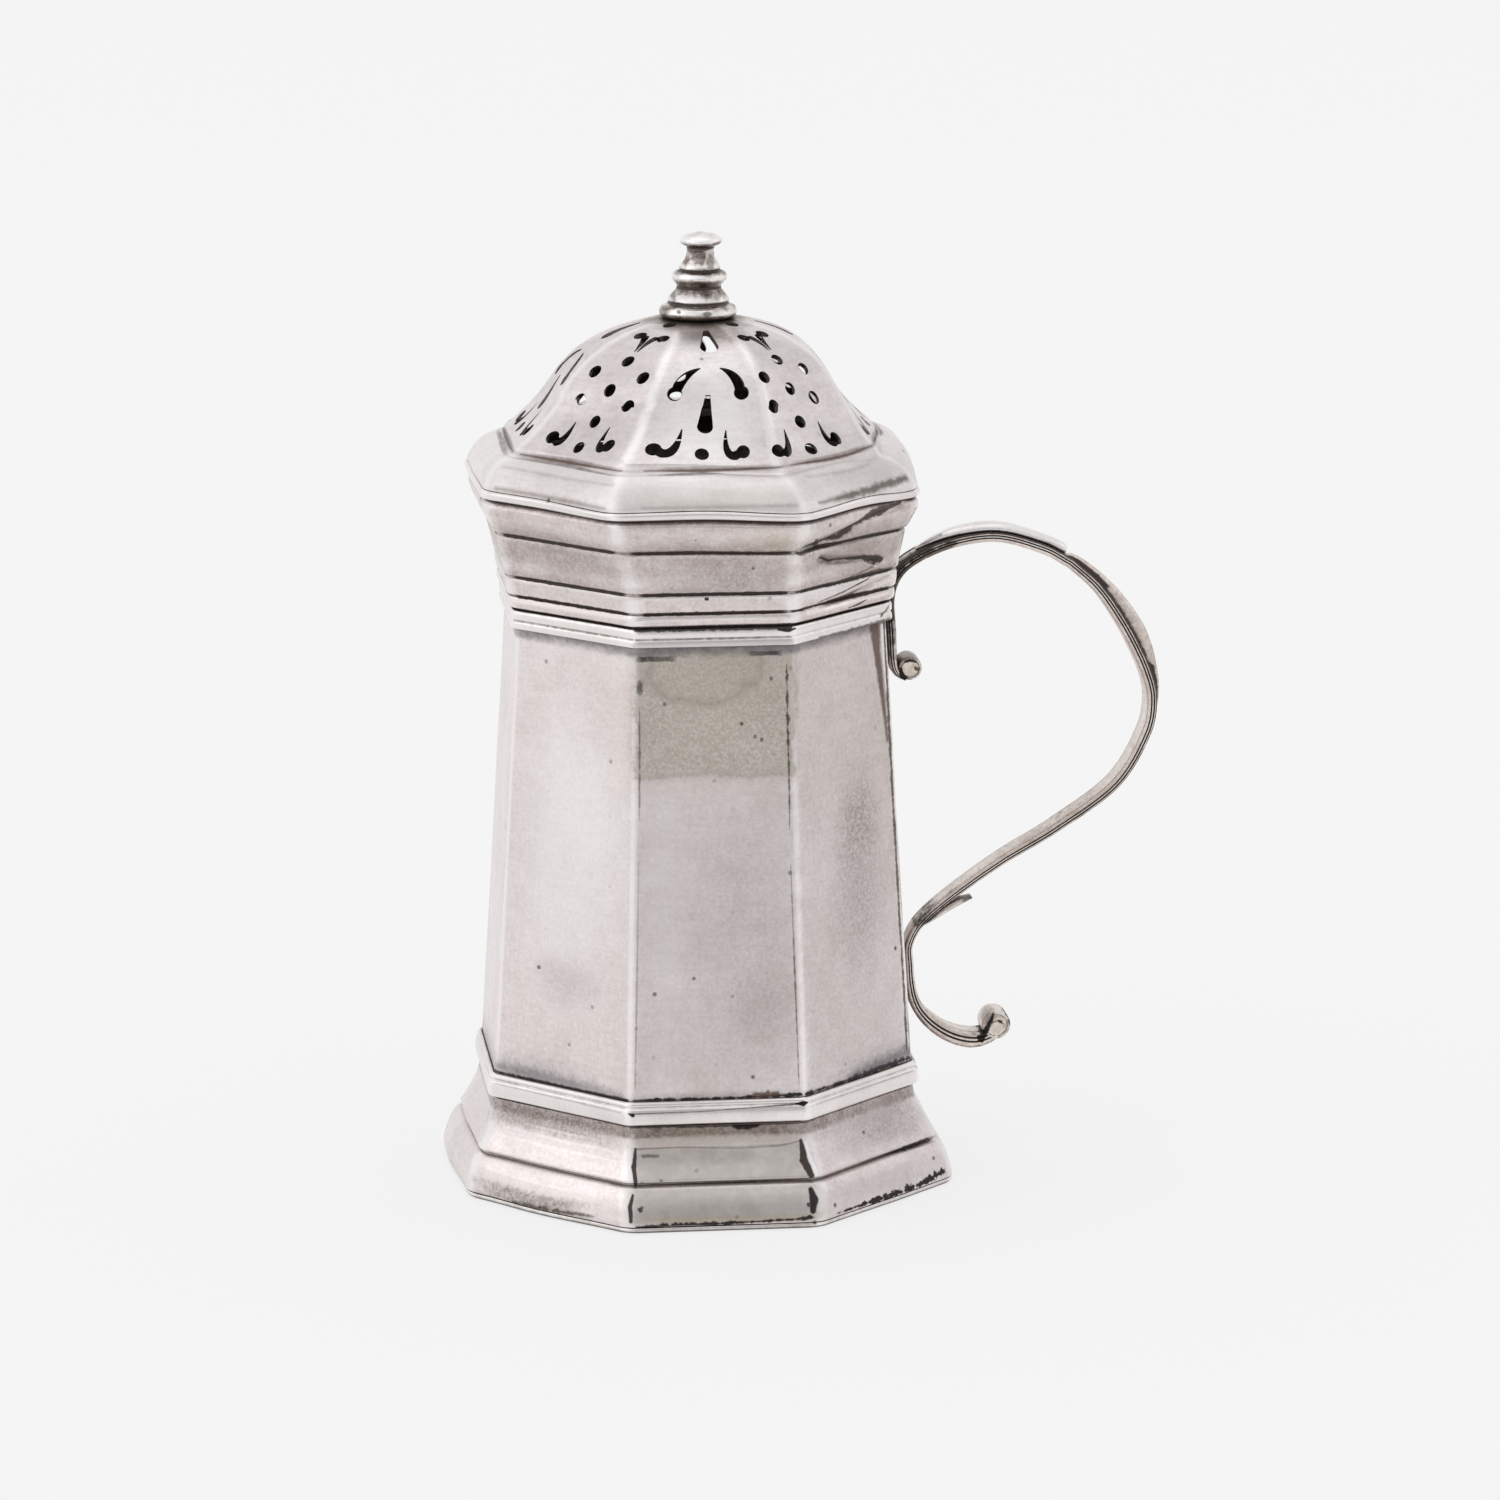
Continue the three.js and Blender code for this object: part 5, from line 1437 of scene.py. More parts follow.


# Smudges and films of the cornice, and painted shade along the crease under the dome
CORNICE_MARKS: tuple[Mark, ...] = (
    Stroke(RIGHT, 27, ((-9.0, 88.6, 0.2), (-4.0, 88.75, 0.7), (2.0, 88.9, 0.9), (9.0, 89.0, 0.7)), PEAT,
           0.75, 0.7, 1.2),
    Stroke(FRONT, 27, ((-9.0, 88.8, 0.1), (-2.0, 88.75, 0.25), (9.5, 88.7, 0.3)), UMBER, 0.45, 0.8, 1.0),
    Stroke(LEFT, 27, ((-9.0, 88.9, 0.3), (3.0, 88.8, 0.5), (9.0, 88.7, 0.2)), UMBER, 0.55, 0.8, 1.0),
    Patch(FRONT, 0.0, 89.5, 10.0, 0.9, OCHRE, 0.15, 0.9, 1.4, 0.3, out=27),
    Patch(RIGHT, 0.0, 90.2, 10.0, 1.6, MAUVE, 0.42, 0.9, 1.4, 0.3, out=27),
    Patch(LEFT, 0.0, 90.2, 10.0, 1.6, MAUVE, 0.3, 0.9, 1.4, 0.3, out=27),
    *crease_shade(92.2, 8.4, 0.12, 22.6),
    Stroke(RIGHT, 26, ((-8.0, 91.3, 0.15), (0.0, 91.2, 0.3), (9.0, 91.4, 0.2)), LEAD, 0.35, 0.5, 1.0),
    Stroke(LEFT, 26, ((-9.0, 91.3, 0.15), (0.0, 91.1, 0.25), (9.0, 91.3, 0.15)), LEAD, 0.35, 0.5, 1.0),
)


@dataclass
class Cornice:
    """The rounded cornice on its fillet wire."""

    low: float = 88.45
    high: float = 92.3
    radius: float = 29.4
    seat_radius: float = 24.6
    wall: float = 0.85
    soft: float = 1.7
    edge: float = 0.15
    cuts: int = 15
    arris_reach: float = 1.1
    ripple_depth: float = 0.1
    ripple_length: float = 7.0
    seat_depth: float = 0.25
    seat_width: float = 1.3
    under_share: float = 0.72
    wire_edge: float = 0.2
    wire_arris_reach: float = 1.0
    wire_low: float = 87.3
    wire_high: float = 88.4
    wire_inner: float = 28.6
    wire_radius: float = 29.75
    shares: tuple[Point, ...] = (
        (1, 0), (1, 0.1), (0.93, 0.3), (0.75, 0.6), (0.5, 0.83), (0.24, 0.96), (0, 1),
    )
    wire_shares: tuple[Point, ...] = ((0, 0), (0.76, 0), (1, 0.25), (1, 0.75), (0.76, 1), (0, 1))
    drift: CornerDrift = CornerDrift()

    def build(self, shop: Workshop) -> None:
        """Models and dresses the cornice and its wire."""
        roof = rounded(spread(self.shares, self.seat_radius, self.radius, self.low, self.high), self.edge,
                       closed=False)
        seat = self.high - self.seat_depth
        edge = self.seat_radius - self.seat_width
        under = [(radius - self.wall, height - self.wall * self.under_share)
                 for radius, height in roof[ROUND_STEPS:-2:ROUND_STEPS]]
        line = [*roof, (self.seat_radius - self.seat_depth / 2, seat), (edge, seat),
                (edge, seat - self.wall), *reversed(under), (self.radius - self.wall, self.low)]
        cornice = octagon_piece("rounded_cornice", line, shop.axis, self.soft, self.cuts)
        mark_arrises(cornice, shop.axis, self.arris_reach)
        ripple(cornice, self.ripple_depth, self.ripple_length)
        handwork(cornice, shop.axis, [self.drift])
        shop.dress(cornice, shop.finishes.plain, CORNICE_MARKS, inside_from=self.low - self.wall)
        shop.hand_in(cornice, "cornice", "cover")
        line = spread(self.wire_shares, self.wire_inner, self.wire_radius, self.wire_low, self.wire_high)
        wire = octagon_piece("fillet_wire", rounded(line, self.wire_edge), shop.axis, self.soft, self.cuts)
        mark_arrises(wire, shop.axis, self.wire_arris_reach)
        handwork(wire, shop.axis, [self.drift])
        shop.dress(wire, shop.finishes.bright)
        shop.hand_in(wire, "cornice_wire", "cover")


@dataclass(frozen=True)
class Comma:
    """A comma piercing, by shares across half a panel and up the dome."""

    bulb: Point
    bend: Point
    tip: Point
    radius: float = 0.92


@dataclass(frozen=True)
class Taper:
    """A wedge or drop, round at its base and narrow at its tip."""

    base: Point
    tip: Point
    radius: float
    tip_width: float


@dataclass(frozen=True)
class Pattern:
    """What is pierced in one panel."""

    commas: tuple[Comma, ...]
    dots: tuple[Point, ...]
    tapers: tuple[Taper, ...] = ()


# Dark brown round the finial's foot, films of the panels, painted light over the front panel, and painted
# shade with dark lines in the crease below
DOME_MARKS: tuple[Mark, ...] = (
    Patch(FRONT, 0.3, 107.0, 6.6, 1.6, UMBER, 0.85, 0.9, 0.6, 0.2, out=0, deep=6.6),
    Patch(FRONT, 3.0, 105.6, 2.6, 1.5, UMBER, 0.6, 0.9, 0.7, 0.35, out=7, deep=3),
    Patch(LEFT, 1.0, 98.0, 6.0, 5.0, MAUVE, 0.25, 0.9, 1.4, 0.3, 4.0, out=20),
    Patch(RIGHT, 0.0, 98.0, 6.0, 5.0, MAUVE, 0.2, 0.9, 1.4, 0.3, 4.0, out=20),
    *crease_shade(92.55, 8.4, 0.35, 23.0),
    *[Stroke(panel, 22.5, ((-8.4, 92.55, 0.1), (-3.0, 92.45, 0.3), (3.0, 92.45, 0.3),
                           (8.4, 92.55, 0.1)), UMBER, 0.8, 0.2, 0.6, 2.0)
      for panel in PANEL_ANGLES],
    # Painted light over the front panel.
    Patch(FRONT, 0.0, 99.0, 6.0, 7.0, PAINTED_LIGHT, 0.4, 0.8, 0.9, 0.15, 4.0, out=20),
)


@dataclass
class Dome:
    """The raised eight-sided dome, pierced with two patterns on alternate panels.

    The panel shifts say how far a panel's pattern stands off its middle at the foot and the crown.
    """

    low: float = 92.1
    high: float = 107.3
    base_radius: float = 24.4
    crown_radius: float = 1.35
    wall: float = 0.78
    soft: float = 1.15
    roundness_share: float = 0.42
    lip: tuple[Point, ...] = ((24.4, 92.1), (24.9, 92.1), (25.3, 92.12), (24.9, 92.36), (24.55, 92.66))
    lip_rise: float = 0.95
    inner_rise: float = 0.6
    fade: float = 1.0
    probe_share: float = 0.03
    edge: float = 0.2
    cuts: int = 15
    rows_apart: float = 0.9
    arris_reach: float = 0.9
    smooth_angle: float = 32.0
    dot_radius: float = 0.82
    oval_share: float = 1.06
    dot_steps: int = 24
    tail_width: float = 1.35
    tail_root_share: float = 1.5
    tail_power: float = 2.4
    tail_steps: int = 14
    tip_width: float = 0.14
    reach: float = 2.2
    shares: tuple[Point, ...] = (
        (1, 0), (1, 0.045), (0.955, 0.115), (0.885, 0.22), (0.82, 0.33), (0.765, 0.455), (0.712, 0.585),
        (0.645, 0.705), (0.55, 0.815), (0.43, 0.907), (0.29, 0.97), (0.18, 1),
    )
    front: Pattern = Pattern(
        commas=(Comma((0.6, 0.565), (0.55, 0.7), (0.2, 0.735)),
                Comma((0.61, 0.16), (0.3, 0.06), (0.33, 0.3))),
        dots=((0, 0.13),),
        tapers=(Taper((0, 0.32), (0, 0.55), 0.95, 0.6), Taper((0, 0.87), (0, 0.96), 1.15, 0.6)),
    )
    side: Pattern = Pattern(
        commas=(Comma((0.58, 0.165), (0.32, 0.08), (0.38, 0.29)),
                Comma((0.46, 0.915), (0.12, 0.93), (0.04, 0.82), 0.84)),
        dots=((0, 0.98), (0, 0.755), (0.6, 0.665), (-0.6, 0.665), (0, 0.55), (0.53, 0.455), (-0.53, 0.455),
              (0, 0.31), (0, 0.125)),
    )
    panel_shifts: dict[int, Point] = field(default_factory=lambda: {
        5: (0.05, -0.1), 6: (0.125, -0.09), 7: (0.366, 0.19)})
    drift: CornerDrift = CornerDrift()

    def line(self) -> Line:
        """Outer section of the dome."""
        return spread(self.shares, 0, self.base_radius, self.low, self.high)

    def roundness(self, height: float) -> float:
        """How round the dome's level is, from 0 at its foot."""
        share = min(max((height - self.low) / (self.high - self.low), 0), 1)
        return self.roundness_share * share * share

    def panel_spot(self, across_share: float, up_share: float) -> Vector:
        """Place on a panel: across it, out from the axis and up, in millimetres."""
        height = mix(self.low, self.high, up_share)
        line = self.line()
        row = next((i for i, point in enumerate(line) if point[1] >= height), len(line) - 1)
        row = max(row, 1)
        (low_radius, low), (high_radius, high) = line[row - 1], line[row]
        radius = mix(low_radius, high_radius, (height - low) / (high - low))
        return Vector((radius * HALF_FLAT_SHARE * across_share, radius * FLAT_SHARE, height))

    def panel_frame(self, across_share: float, up_share: float) -> tuple[Vector, Vector, Vector]:
        """Origin, up-slope direction and outward direction of a panel at a place."""
        low = self.panel_spot(0, up_share - self.probe_share)
        high = self.panel_spot(0, min(up_share + self.probe_share, 1))
        up = (high - low).normalized()
        out = Vector((1, 0, 0)).cross(up) * -1
        return self.panel_spot(across_share, up_share), up, out

    def pierce(self, panel: int, frame: tuple[Vector, Vector, Vector], outline: Sequence[Point],
               shop: Workshop) -> bpy.types.Object:
        """Models one cutter: an outline on a panel, driven straight through the sheet.

        Args:
            panel: number of the panel.
            frame: the place on it.
            outline: the piercing's outline across and up the slope.
            shop: the workshop.

        Returns:
            The cutter.
        """
        origin, up, out = frame
        turn = Euler((0, 0, panel * PANEL_TURN - math.pi / 2)).to_matrix()
        rings = []
        for depth in (-self.reach, self.reach):
            ring = []
            for across, along in outline:
                spot = origin + Vector((1, 0, 0)) * across + up * along + out * depth
                ring.append(shop.axis + (turn @ spot) * METRES)
            rings.append(ring)
        return loft(f"cutter_{panel}", rings)

    def dot_outline(self) -> Line:
        """A round hole, drilled and filed slightly oval."""
        return [(self.dot_radius * x, self.dot_radius * self.oval_share * y)
                for x, y in arc(self.dot_steps)[:-1]]

    def comma_outline(self, bulb: Vector, bend: Vector, tip: Vector, radius: float) -> Line:
        """A bulb with a curved tail that runs out to a narrow tip."""
        left: list[Vector] = []
        right: list[Vector] = []
        root = min(self.tail_width, radius * self.tail_root_share)
        for step in range(1, self.tail_steps + 1):
            share = step / self.tail_steps
            spot = bulb.lerp(bend, share).lerp(bend.lerp(tip, share), share)
            way = ((bend - bulb) * (1 - share) + (tip - bend) * share).normalized()
            side = Vector((-way.y, way.x))
            half = mix(root, self.tip_width, share ** self.tail_power) / 2
            if (spot - bulb).length > radius:
                left.append(spot + side * half)
                right.append(spot - side * half)
        first = math.atan2(*reversed(left[0] - bulb))
        last = math.atan2(*reversed(right[0] - bulb))
        sweep = (last - first) % (2 * math.pi)
        ring = [bulb + Vector(way) * radius for way in arc(self.dot_steps, first, sweep)[1:-1]]
        return [(spot.x, spot.y) for spot in (*reversed(left), *ring, *right)]

    def taper_outline(self, base: Vector, tip: Vector, taper: Taper) -> Line:
        """A round base that narrows to a short flat top."""
        half = taper.tip_width / 2
        points = [(base.x + taper.radius * x, base.y + taper.radius * y)
                  for x, y in arc(self.dot_steps // 2, math.pi, math.pi)]
        return [*points, (tip.x + half, tip.y), (tip.x - half, tip.y)]

    def cutters(self, panel: int, pattern: Pattern, shop: Workshop) -> list[bpy.types.Object]:
        """Models every cutter of one panel."""
        foot_shift, crown_shift = self.panel_shifts.get(panel, (0, 0))

        def moved(share: Point) -> Point:
            """A place of the pattern with the panel's own shift."""
            return share[0] + mix(foot_shift, crown_shift, share[1]), share[1]

        def flat(frame: tuple[Vector, Vector, Vector], share: Point) -> Vector:
            """A place of the pattern in a panel's frame."""
            arm = self.panel_spot(*moved(share)) - frame[0]
            return Vector((arm.x, arm.dot(frame[1])))

        found = []
        for comma in pattern.commas:
            for hand in (-1, 1):
                shares = [(hand * x, y) for x, y in (comma.bulb, comma.bend, comma.tip)]
                middle = (comma.bulb[1] + comma.tip[1]) / 2
                frame = self.panel_frame(*moved((hand * comma.bend[0], middle)))
                spots = [flat(frame, share) for share in shares]
                found.append(self.pierce(panel, frame, self.comma_outline(*spots, comma.radius), shop))
        for dot in pattern.dots:
            frame = self.panel_frame(*moved(dot))
            found.append(self.pierce(panel, frame, self.dot_outline(), shop))
        for taper in pattern.tapers:
            middle = (taper.base[1] + taper.tip[1]) / 2
            frame = self.panel_frame(*moved((taper.base[0], middle)))
            outline = self.taper_outline(flat(frame, taper.base), flat(frame, taper.tip), taper)
            found.append(self.pierce(panel, frame, outline, shop))
        return found

    def build(self, shop: Workshop) -> None:
        """Models, pierces and dresses the dome."""
        wall = rounded([*self.line()[1:], (self.crown_radius, self.high)], self.edge, closed=False)
        foot = (self.base_radius, self.low + self.lip_rise)
        outer = divided([*self.lip, foot, *wall[1:]], self.rows_apart)
        inner = [(self.base_radius - self.wall, self.low)]
        for radius, height in outer[::2]:
            inner_radius = max(radius - self.wall * ease(height, self.high + self.fade, self.low),
                               self.crown_radius)
            inner_height = height - self.wall * ease(height, self.low + self.fade, self.high)
            if inner_height > self.low + self.inner_rise:
                inner.append((inner_radius, inner_height))
        radius, height = outer[0]
        dome = start_ring("pierced_cap", PANELS, radius, height, shop.axis)
        soften_ring(dome, self.soft, self.cuts)
        raise_rings(outer, shop.axis, self.roundness)
        inward = [outer[-1], (self.crown_radius, self.high - self.wall), *reversed(inner[:-1])]
        raise_rings(inward, shop.axis)
        bpy.ops.mesh.select_all(action="DESELECT")
        bpy.ops.mesh.select_non_manifold()
        bpy.ops.mesh.bridge_edge_loops()
        close_mesh(dome)
        shop.dress(dome, shop.finishes.raised, DOME_MARKS, inside_from=self.low)
        tools = []
        for panel in range(PANELS):
            tools += self.cutters(panel, self.side if panel % 2 else self.front, shop)
        join_cut(dome, tools, "DIFFERENCE")
        mark_arrises(dome, shop.axis, self.arris_reach)
        handwork(dome, shop.axis, [self.drift])
        shop.hand_in(dome, "pierced_dome", "cover", self.smooth_angle)


# Dark reflections, tarnish and gleams of the finial's front
FINIAL_MARKS: tuple[Mark, ...] = (
    Patch(FRONT, 0.0, 117.4, 4.0, 0.95, PAINTED_LIGHT, 0.9, 0.3, 0.3, out=0, deep=6),
    Patch(FRONT, 0.0, 115.9, 1.9, 0.5, PEAT, 0.9, 0.6, 0.5, 0.2, 1.0, out=2, deep=4),
    Patch(FRONT, -0.6, 112.6, 1.6, 0.3, PAINTED_LIGHT, 0.8, 0.6, 0.6, out=2, deep=4),
    Patch(FRONT, -1.0, 109.9, 1.6, 0.4, PAINTED_LIGHT, 0.7, 0.9, 0.6, out=3, deep=4),
    Patch(FRONT, -0.7, 108.6, 2.6, 0.3, PAINTED_LIGHT, 0.7, 0.9, 0.6, out=3, deep=4),
    Patch(FRONT, 0.5, 114.9, 0.9, 0.9, DIRTY, 0.9, 1.2, 0.5, 0.4, 0.6, out=2, deep=4),
    Patch(FRONT, -1.15, 114.7, 0.35, 1.0, UMBER, 0.8, 0.8, 0.6, 0.2, 0.8, out=2, deep=4),
    Patch(FRONT, 1.9, 114.2, 0.5, 1.0, PEAT, 0.8, 0.8, 0.6, 0.2, 0.8, out=1, deep=4),
    Patch(FRONT, -0.1, 111.4, 2.5, 0.85, PEAT, 0.9, 0.9, 0.6, 0.45, 0.7, out=2, deep=4),
    Patch(FRONT, 1.2, 110.6, 0.9, 0.35, DIRTY, 0.8, 0.9, 0.6, 0.2, 0.6, out=2, deep=4),
    Patch(FRONT, -2.7, 110.6, 0.4, 1.0, PEAT, 0.85, 0.8, 0.6, 0.2, 0.8, out=2, deep=4),
    Patch(FRONT, 2.6, 110.3, 0.5, 0.7, UMBER, 0.7, 0.8, 0.8, 0.2, 0.8, out=2, deep=4),
    Patch(FRONT, -3.9, 108.2, 0.5, 0.6, UMBER, 0.8, 0.8, 0.8, 0.2, 0.8, out=2, deep=4),
    Patch(FRONT, -2.2, 108.5, 0.25, 0.2, DIRTY, 0.9, 0.9, 0.6, 0.0, 0.6, out=4, deep=3),
    Patch(FRONT, 1.2, 108.3, 0.6, 0.3, DIRTY, 0.9, 0.9, 0.5, 0.0, 0.6, out=4, deep=3),
    Patch(FRONT, -1.0, 107.9, 3.5, 0.25, UMBER, 0.8, 0.9, 0.8, 0.2, 1.2, out=4, deep=4),
)


@dataclass
class Finial:
    """The turned finial."""

    low: float = 107.35
    high: float = 117.75
    radius: float = 4.78
    peg_radius: float = 1.2
    peg_length: float = 1.5
    sides: int = 72
    edge: float = 0.12
    smooth_angle: float = 45.0
    groove_reach: float = 0.24
    gleam_reach: float = 0.28
    groove_shares: tuple[float, ...] = (0.0, 0.18, 0.36, 0.56, 0.83)
    gleam_shares: tuple[float, ...] = (0.08, 0.235, 0.49, 0.62, 0.93)
    shares: tuple[Point, ...] = (
        (0.9, 0), (0.98, 0.03), (1, 0.07), (0.95, 0.13), (0.79, 0.16), (0.77, 0.185), (0.8, 0.215),
        (0.7, 0.27), (0.58, 0.335), (0.56, 0.37), (0.62, 0.41), (0.7, 0.45), (0.715, 0.49), (0.66, 0.53),
        (0.51, 0.555), (0.53, 0.59), (0.5, 0.62), (0.405, 0.67), (0.36, 0.73), (0.345, 0.79),
        (0.36, 0.835), (0.52, 0.868), (0.56, 0.905), (0.5, 0.945), (0.3, 0.985), (0.06, 1),
    )
    drift: CornerDrift = CornerDrift()

    def build(self, shop: Workshop) -> None:
        """Models and dresses the finial."""
        line = rounded(spread(self.shares, 0, self.radius, self.low, self.high), self.edge, closed=False)
        stem = [(self.peg_radius, self.low - self.peg_length), (self.peg_radius, self.low)]
        finial = turned_piece("turned_finial", [*stem, *line], shop.axis, self.sides)
        handwork(finial, shop.axis, [self.drift])
        # Dark dirt in the grooves, and painted highlight lines on the beads.
        for name, shares, reach in (("grime", self.groove_shares, self.groove_reach),
                                    ("wear_and_highlight", self.gleam_shares, self.gleam_reach)):
            mark_levels(finial, name, [mix(self.low, self.high, share) for share in shares], reach)
        shop.dress(finial, shop.finishes.turned, FINIAL_MARKS)
        shop.hand_in(finial, "finial", "cover", self.smooth_angle)


# The handle


# Stains of the strap's root, of both rolls and of the leaf's end, on the viewer's side
STRAP_MARKS: tuple[Mark, ...] = (
    Patch(0, 0, 70.5, 5, 3.6, DIRTY, 0.8, 1.1, 0.7, 0.55, out=24.5, deep=2.2),
    Stroke(FRONT, 1.5, ((24.4, 69.5, 1.3), (24.8, 73.5, 2.0), (28.0, 77.0, 1.5), (32.0, 78.8, 0.6)), PEAT,
           0.85, 0.5, 2.4),
    Patch(FRONT, 26.7, 63.1, 1.15, 1.15, CREAM, 0.85, 0.5, 0.3, 0.25, 0.8, out=2.2, deep=1.0),
    Patch(FRONT, 26.4, 64.5, 1.7, 0.6, PEAT, 0.8, 1.4, 0.8, 0.5, 0.7, out=1.0, deep=2.6),
    Patch(FRONT, 38.3, 16.7, 1.35, 1.5, CREAM, 0.7, 0.5, 0.4, 0.25, 0.9, out=2.2, deep=1.0),
    Patch(FRONT, 36.9, 18.1, 0.9, 1.2, PEAT, 0.6, 1.0, 0.8, 0.3, 0.8, out=1.0, deep=2.6),
    Stroke(FRONT, 2.0, ((25.45, 63.2, 0.3), (25.6, 62.3, 0.55), (26.2, 61.75, 0.5), (26.9, 61.7, 0.15)),
           BLACK, 0.95, 0.15),
    Stroke(FRONT, 2.0, ((25.9, 63.9, 0.15), (26.6, 64.15, 0.3), (27.4, 63.9, 0.15)), BLACK, 0.9, 0.12),
    Stroke(FRONT, 2.0, ((27.4, 63.1, 0.45), (27.5, 63.0, 0.45)), UMBER, 0.9, 0.12),
    Stroke(FRONT, 2.0, ((35.9, 15.4, 1.0), (36.6, 16.7, 0.75), (37.2, 18.0, 0.45), (37.4, 18.6, 0.3)),
           BLACK, 0.97, 0.2),
    Stroke(FRONT, 2.0, ((38.2, 17.6, 0.4), (38.35, 17.55, 0.4)), BLACK, 0.95, 0.12),
    Stroke(FRONT, 2.0, ((37.2, 17.4, 0.12), (38.0, 17.7, 0.2), (38.8, 17.2, 0.12)), UMBER, 0.8, 0.15),
    Stroke(FRONT, 2.0, ((39.5, 17.7, 0.3), (39.65, 17.1, 0.4)), BLACK, 0.9, 0.15),
    Stroke(FRONT, 1.6, ((44.0, 78.6, 0.25), (45.2, 78.35, 0.45), (46.4, 77.7, 0.3)), BLACK, 0.9, 0.15),
)


@dataclass
class Handle:
    """The reeded strap handle with its rolled ends, thumb rest, spur and solder pad.

    The strap's rows are a place by shares of its reach and drop, then shares of width, thickness and
    rib. Its edges are insets and shares of half the thickness. The rib's foot is a gap beside it, a
    share of half the thickness and a share of the rib's rise; the rib's side is shares of its width
    and rise, and a lift. The soil rows are a share of the strap's length and the dirt on its outer
    face, its sides, its inner face and its grooves.
    """

    top_x: float = 23.45
    low_x: float = 26.27
    top_height: float = 72.775
    drop: float = 48.25
    out_reach: float = 32.3
    width: float = 4.3
    thickness: float = 1.2
    rib_height: float = 1.6
    rib_width: float = 1.9
    rib_crown: float = 0.06
    rib_foot: tuple[Row, ...] = ((0.35, 0.98, 0), (0.05, 0.9, -0.06))
    rib_side: tuple[Row, ...] = ((0.97, 0.35, 0), (0.86, 0.7, 0.02), (0.55, 0.93, 0.05))
    back_share: float = 0.45
    lower_edge: tuple[Point, ...] = ((0.3, -0.98), (0.06, -0.72))
    upper_edge: tuple[Point, ...] = ((0.02, 0.55), (0.12, 0.86), (0.4, 1))
    reed_shares: tuple[Point, ...] = ((-0.62, -0.12), (-0.12, 0.38))
    reed_flat_shares: Point = (0.3, 0.7)
    groove: float = 0.22
    steps: int = 190
    fine_steps: int = 900
    probe: float = 0.002
    roll_length: float = 4.4
    roll_steps: int = 40
    roll_shares: tuple[Point, ...] = (
        (0.02, 0.94), (0.4, 0.95), (0.66, 0.97), (0.74, 0.93), (0.8, 0.98), (0.9, 0.94), (0.97, 0.86),
        (1, 0.74),
    )
    upper_roll: tuple[float, Point] = (1.5, (0.064, 0.2))
    lower_roll: tuple[float, Point] = (1.85, (0.3245, 1.154))
    rows: tuple[Row, ...] = (
        (0.047, 0.228, 0.95, 0.5, 0), (0.012, 0.212, 0.98, 0.7, 0), (0, 0.18, 1, 0.9, 0),
        (0, 0.1, 1, 1, 0), (0, 0.02, 1, 1, 0), (0.03, -0.038, 1, 1, 0), (0.102, -0.082, 1, 1, 0),
        (0.25, -0.123, 1, 1, 0), (0.427, -0.137, 1, 1, 0), (0.6, -0.104, 1, 1, 0),
        (0.685, -0.072, 1, 1, 0), (0.715, -0.058, 1, 1, 0.38), (0.8, -0.003, 1, 1.05, 0.6),
        (0.865, 0.061, 1, 1.08, 0.88), (0.93, 0.143, 1, 1.1, 1), (0.98, 0.228, 1, 1.1, 0.6),
        (0.997, 0.3, 1, 1.1, 0.2), (0.965, 0.39, 0.98, 1.1, 0), (0.839, 0.519, 0.95, 1.08, 0),
        (0.6, 0.632, 0.91, 1.05, 0), (0.381, 0.716, 0.88, 1, 0), (0.179, 0.807, 0.86, 0.92, 0),
        (0.055, 0.876, 0.85, 0.85, 0), (0.003, 0.935, 0.85, 0.88, 0), (0, 0.985, 0.86, 0.95, 0),
        (0, 1.03, 0.88, 1, 0), (0.0105, 1.081, 0.9, 1.08, 0), (0.038, 1.12, 0.92, 1.2, 0),
        (0.0877, 1.155, 0.94, 1.4, 0), (0.15, 1.181, 0.96, 1.55, 0), (0.22, 1.194, 0.98, 1.6, 0),
        (0.276, 1.19, 0.99, 1.4, 0), (0.326, 1.174, 0.99, 1, 0), (0.352, 1.146, 0.99, 0.65, 0),
    )
    soil_rows: tuple[Row, ...] = (
        (0.0, 0.3, 0.3, 0.3, 0.5), (0.05, 0.7, 0.5, 0.4, 0.8), (0.12, 0.85, 0.6, 0.5, 0.9),
        (0.17, 0.9, 0.25, 0.2, 0.9), (0.2, 1.0, 0.1, 0.0, 0.7), (0.28, 1.0, 0.0, 0.0, 0.7),
        (0.48, 1.0, 0.0, 0.0, 0.7), (0.54, 0.8, 0.1, 0.2, 0.6), (0.62, 0.6, 0.1, 0.35, 0.7),
        (0.72, 0.6, 0.1, 0.3, 0.8), (0.76, 0.8, 0.2, 0.35, 0.95), (0.8, 0.9, 0.6, 0.6, 1.0),
        (0.82, 0.1, 0.0, 0.0, 0.2), (0.86, 0.1, 0.0, 0.0, 0.3), (0.88, 0.5, 0.3, 0.5, 0.8),
        (0.94, 0.3, 0.1, 0.45, 0.8), (0.97, 0.4, 0.1, 0.5, 0.8), (1.0, 0.4, 0.1, 0.5, 0.8),
    )
    outer_level: float = 0.7
    inner_level: float = -0.6
    rib_soil_level: float = 1.6
    rib_soil_share: float = 0.4
    edge_soil_share: float = 0.97
    reed_soil_share: float = 0.96
    worn_soil_share: float = 0.3
    thumb_width: float = 3.2
    thumb_height: float = 0.95
    thumb_steps: int = 40
    thumb_rows: tuple[Row, ...] = (
        (0.188, 0.3, 0.2, 0), (0.2, 0.6, 0.55, 0), (0.215, 0.85, 0.9, 0), (0.235, 1, 1, 0),
        (0.255, 0.92, 0.98, 0), (0.272, 0.8, 0.94, 0), (0.284, 0.78, 1, 0), (0.294, 0.72, 1, 0),
        (0.3, 0.4, 0.6, 0),
    )
    thumb_side_shares: tuple[Point, ...] = ((0.92, 0), (1, 0.25), (0.94, 0.55), (0.7, 0.82), (0.35, 0.96))
    spur_width: float = 2.6
    spur_thickness: float = 0.9
    spur_lift: float = 1.1
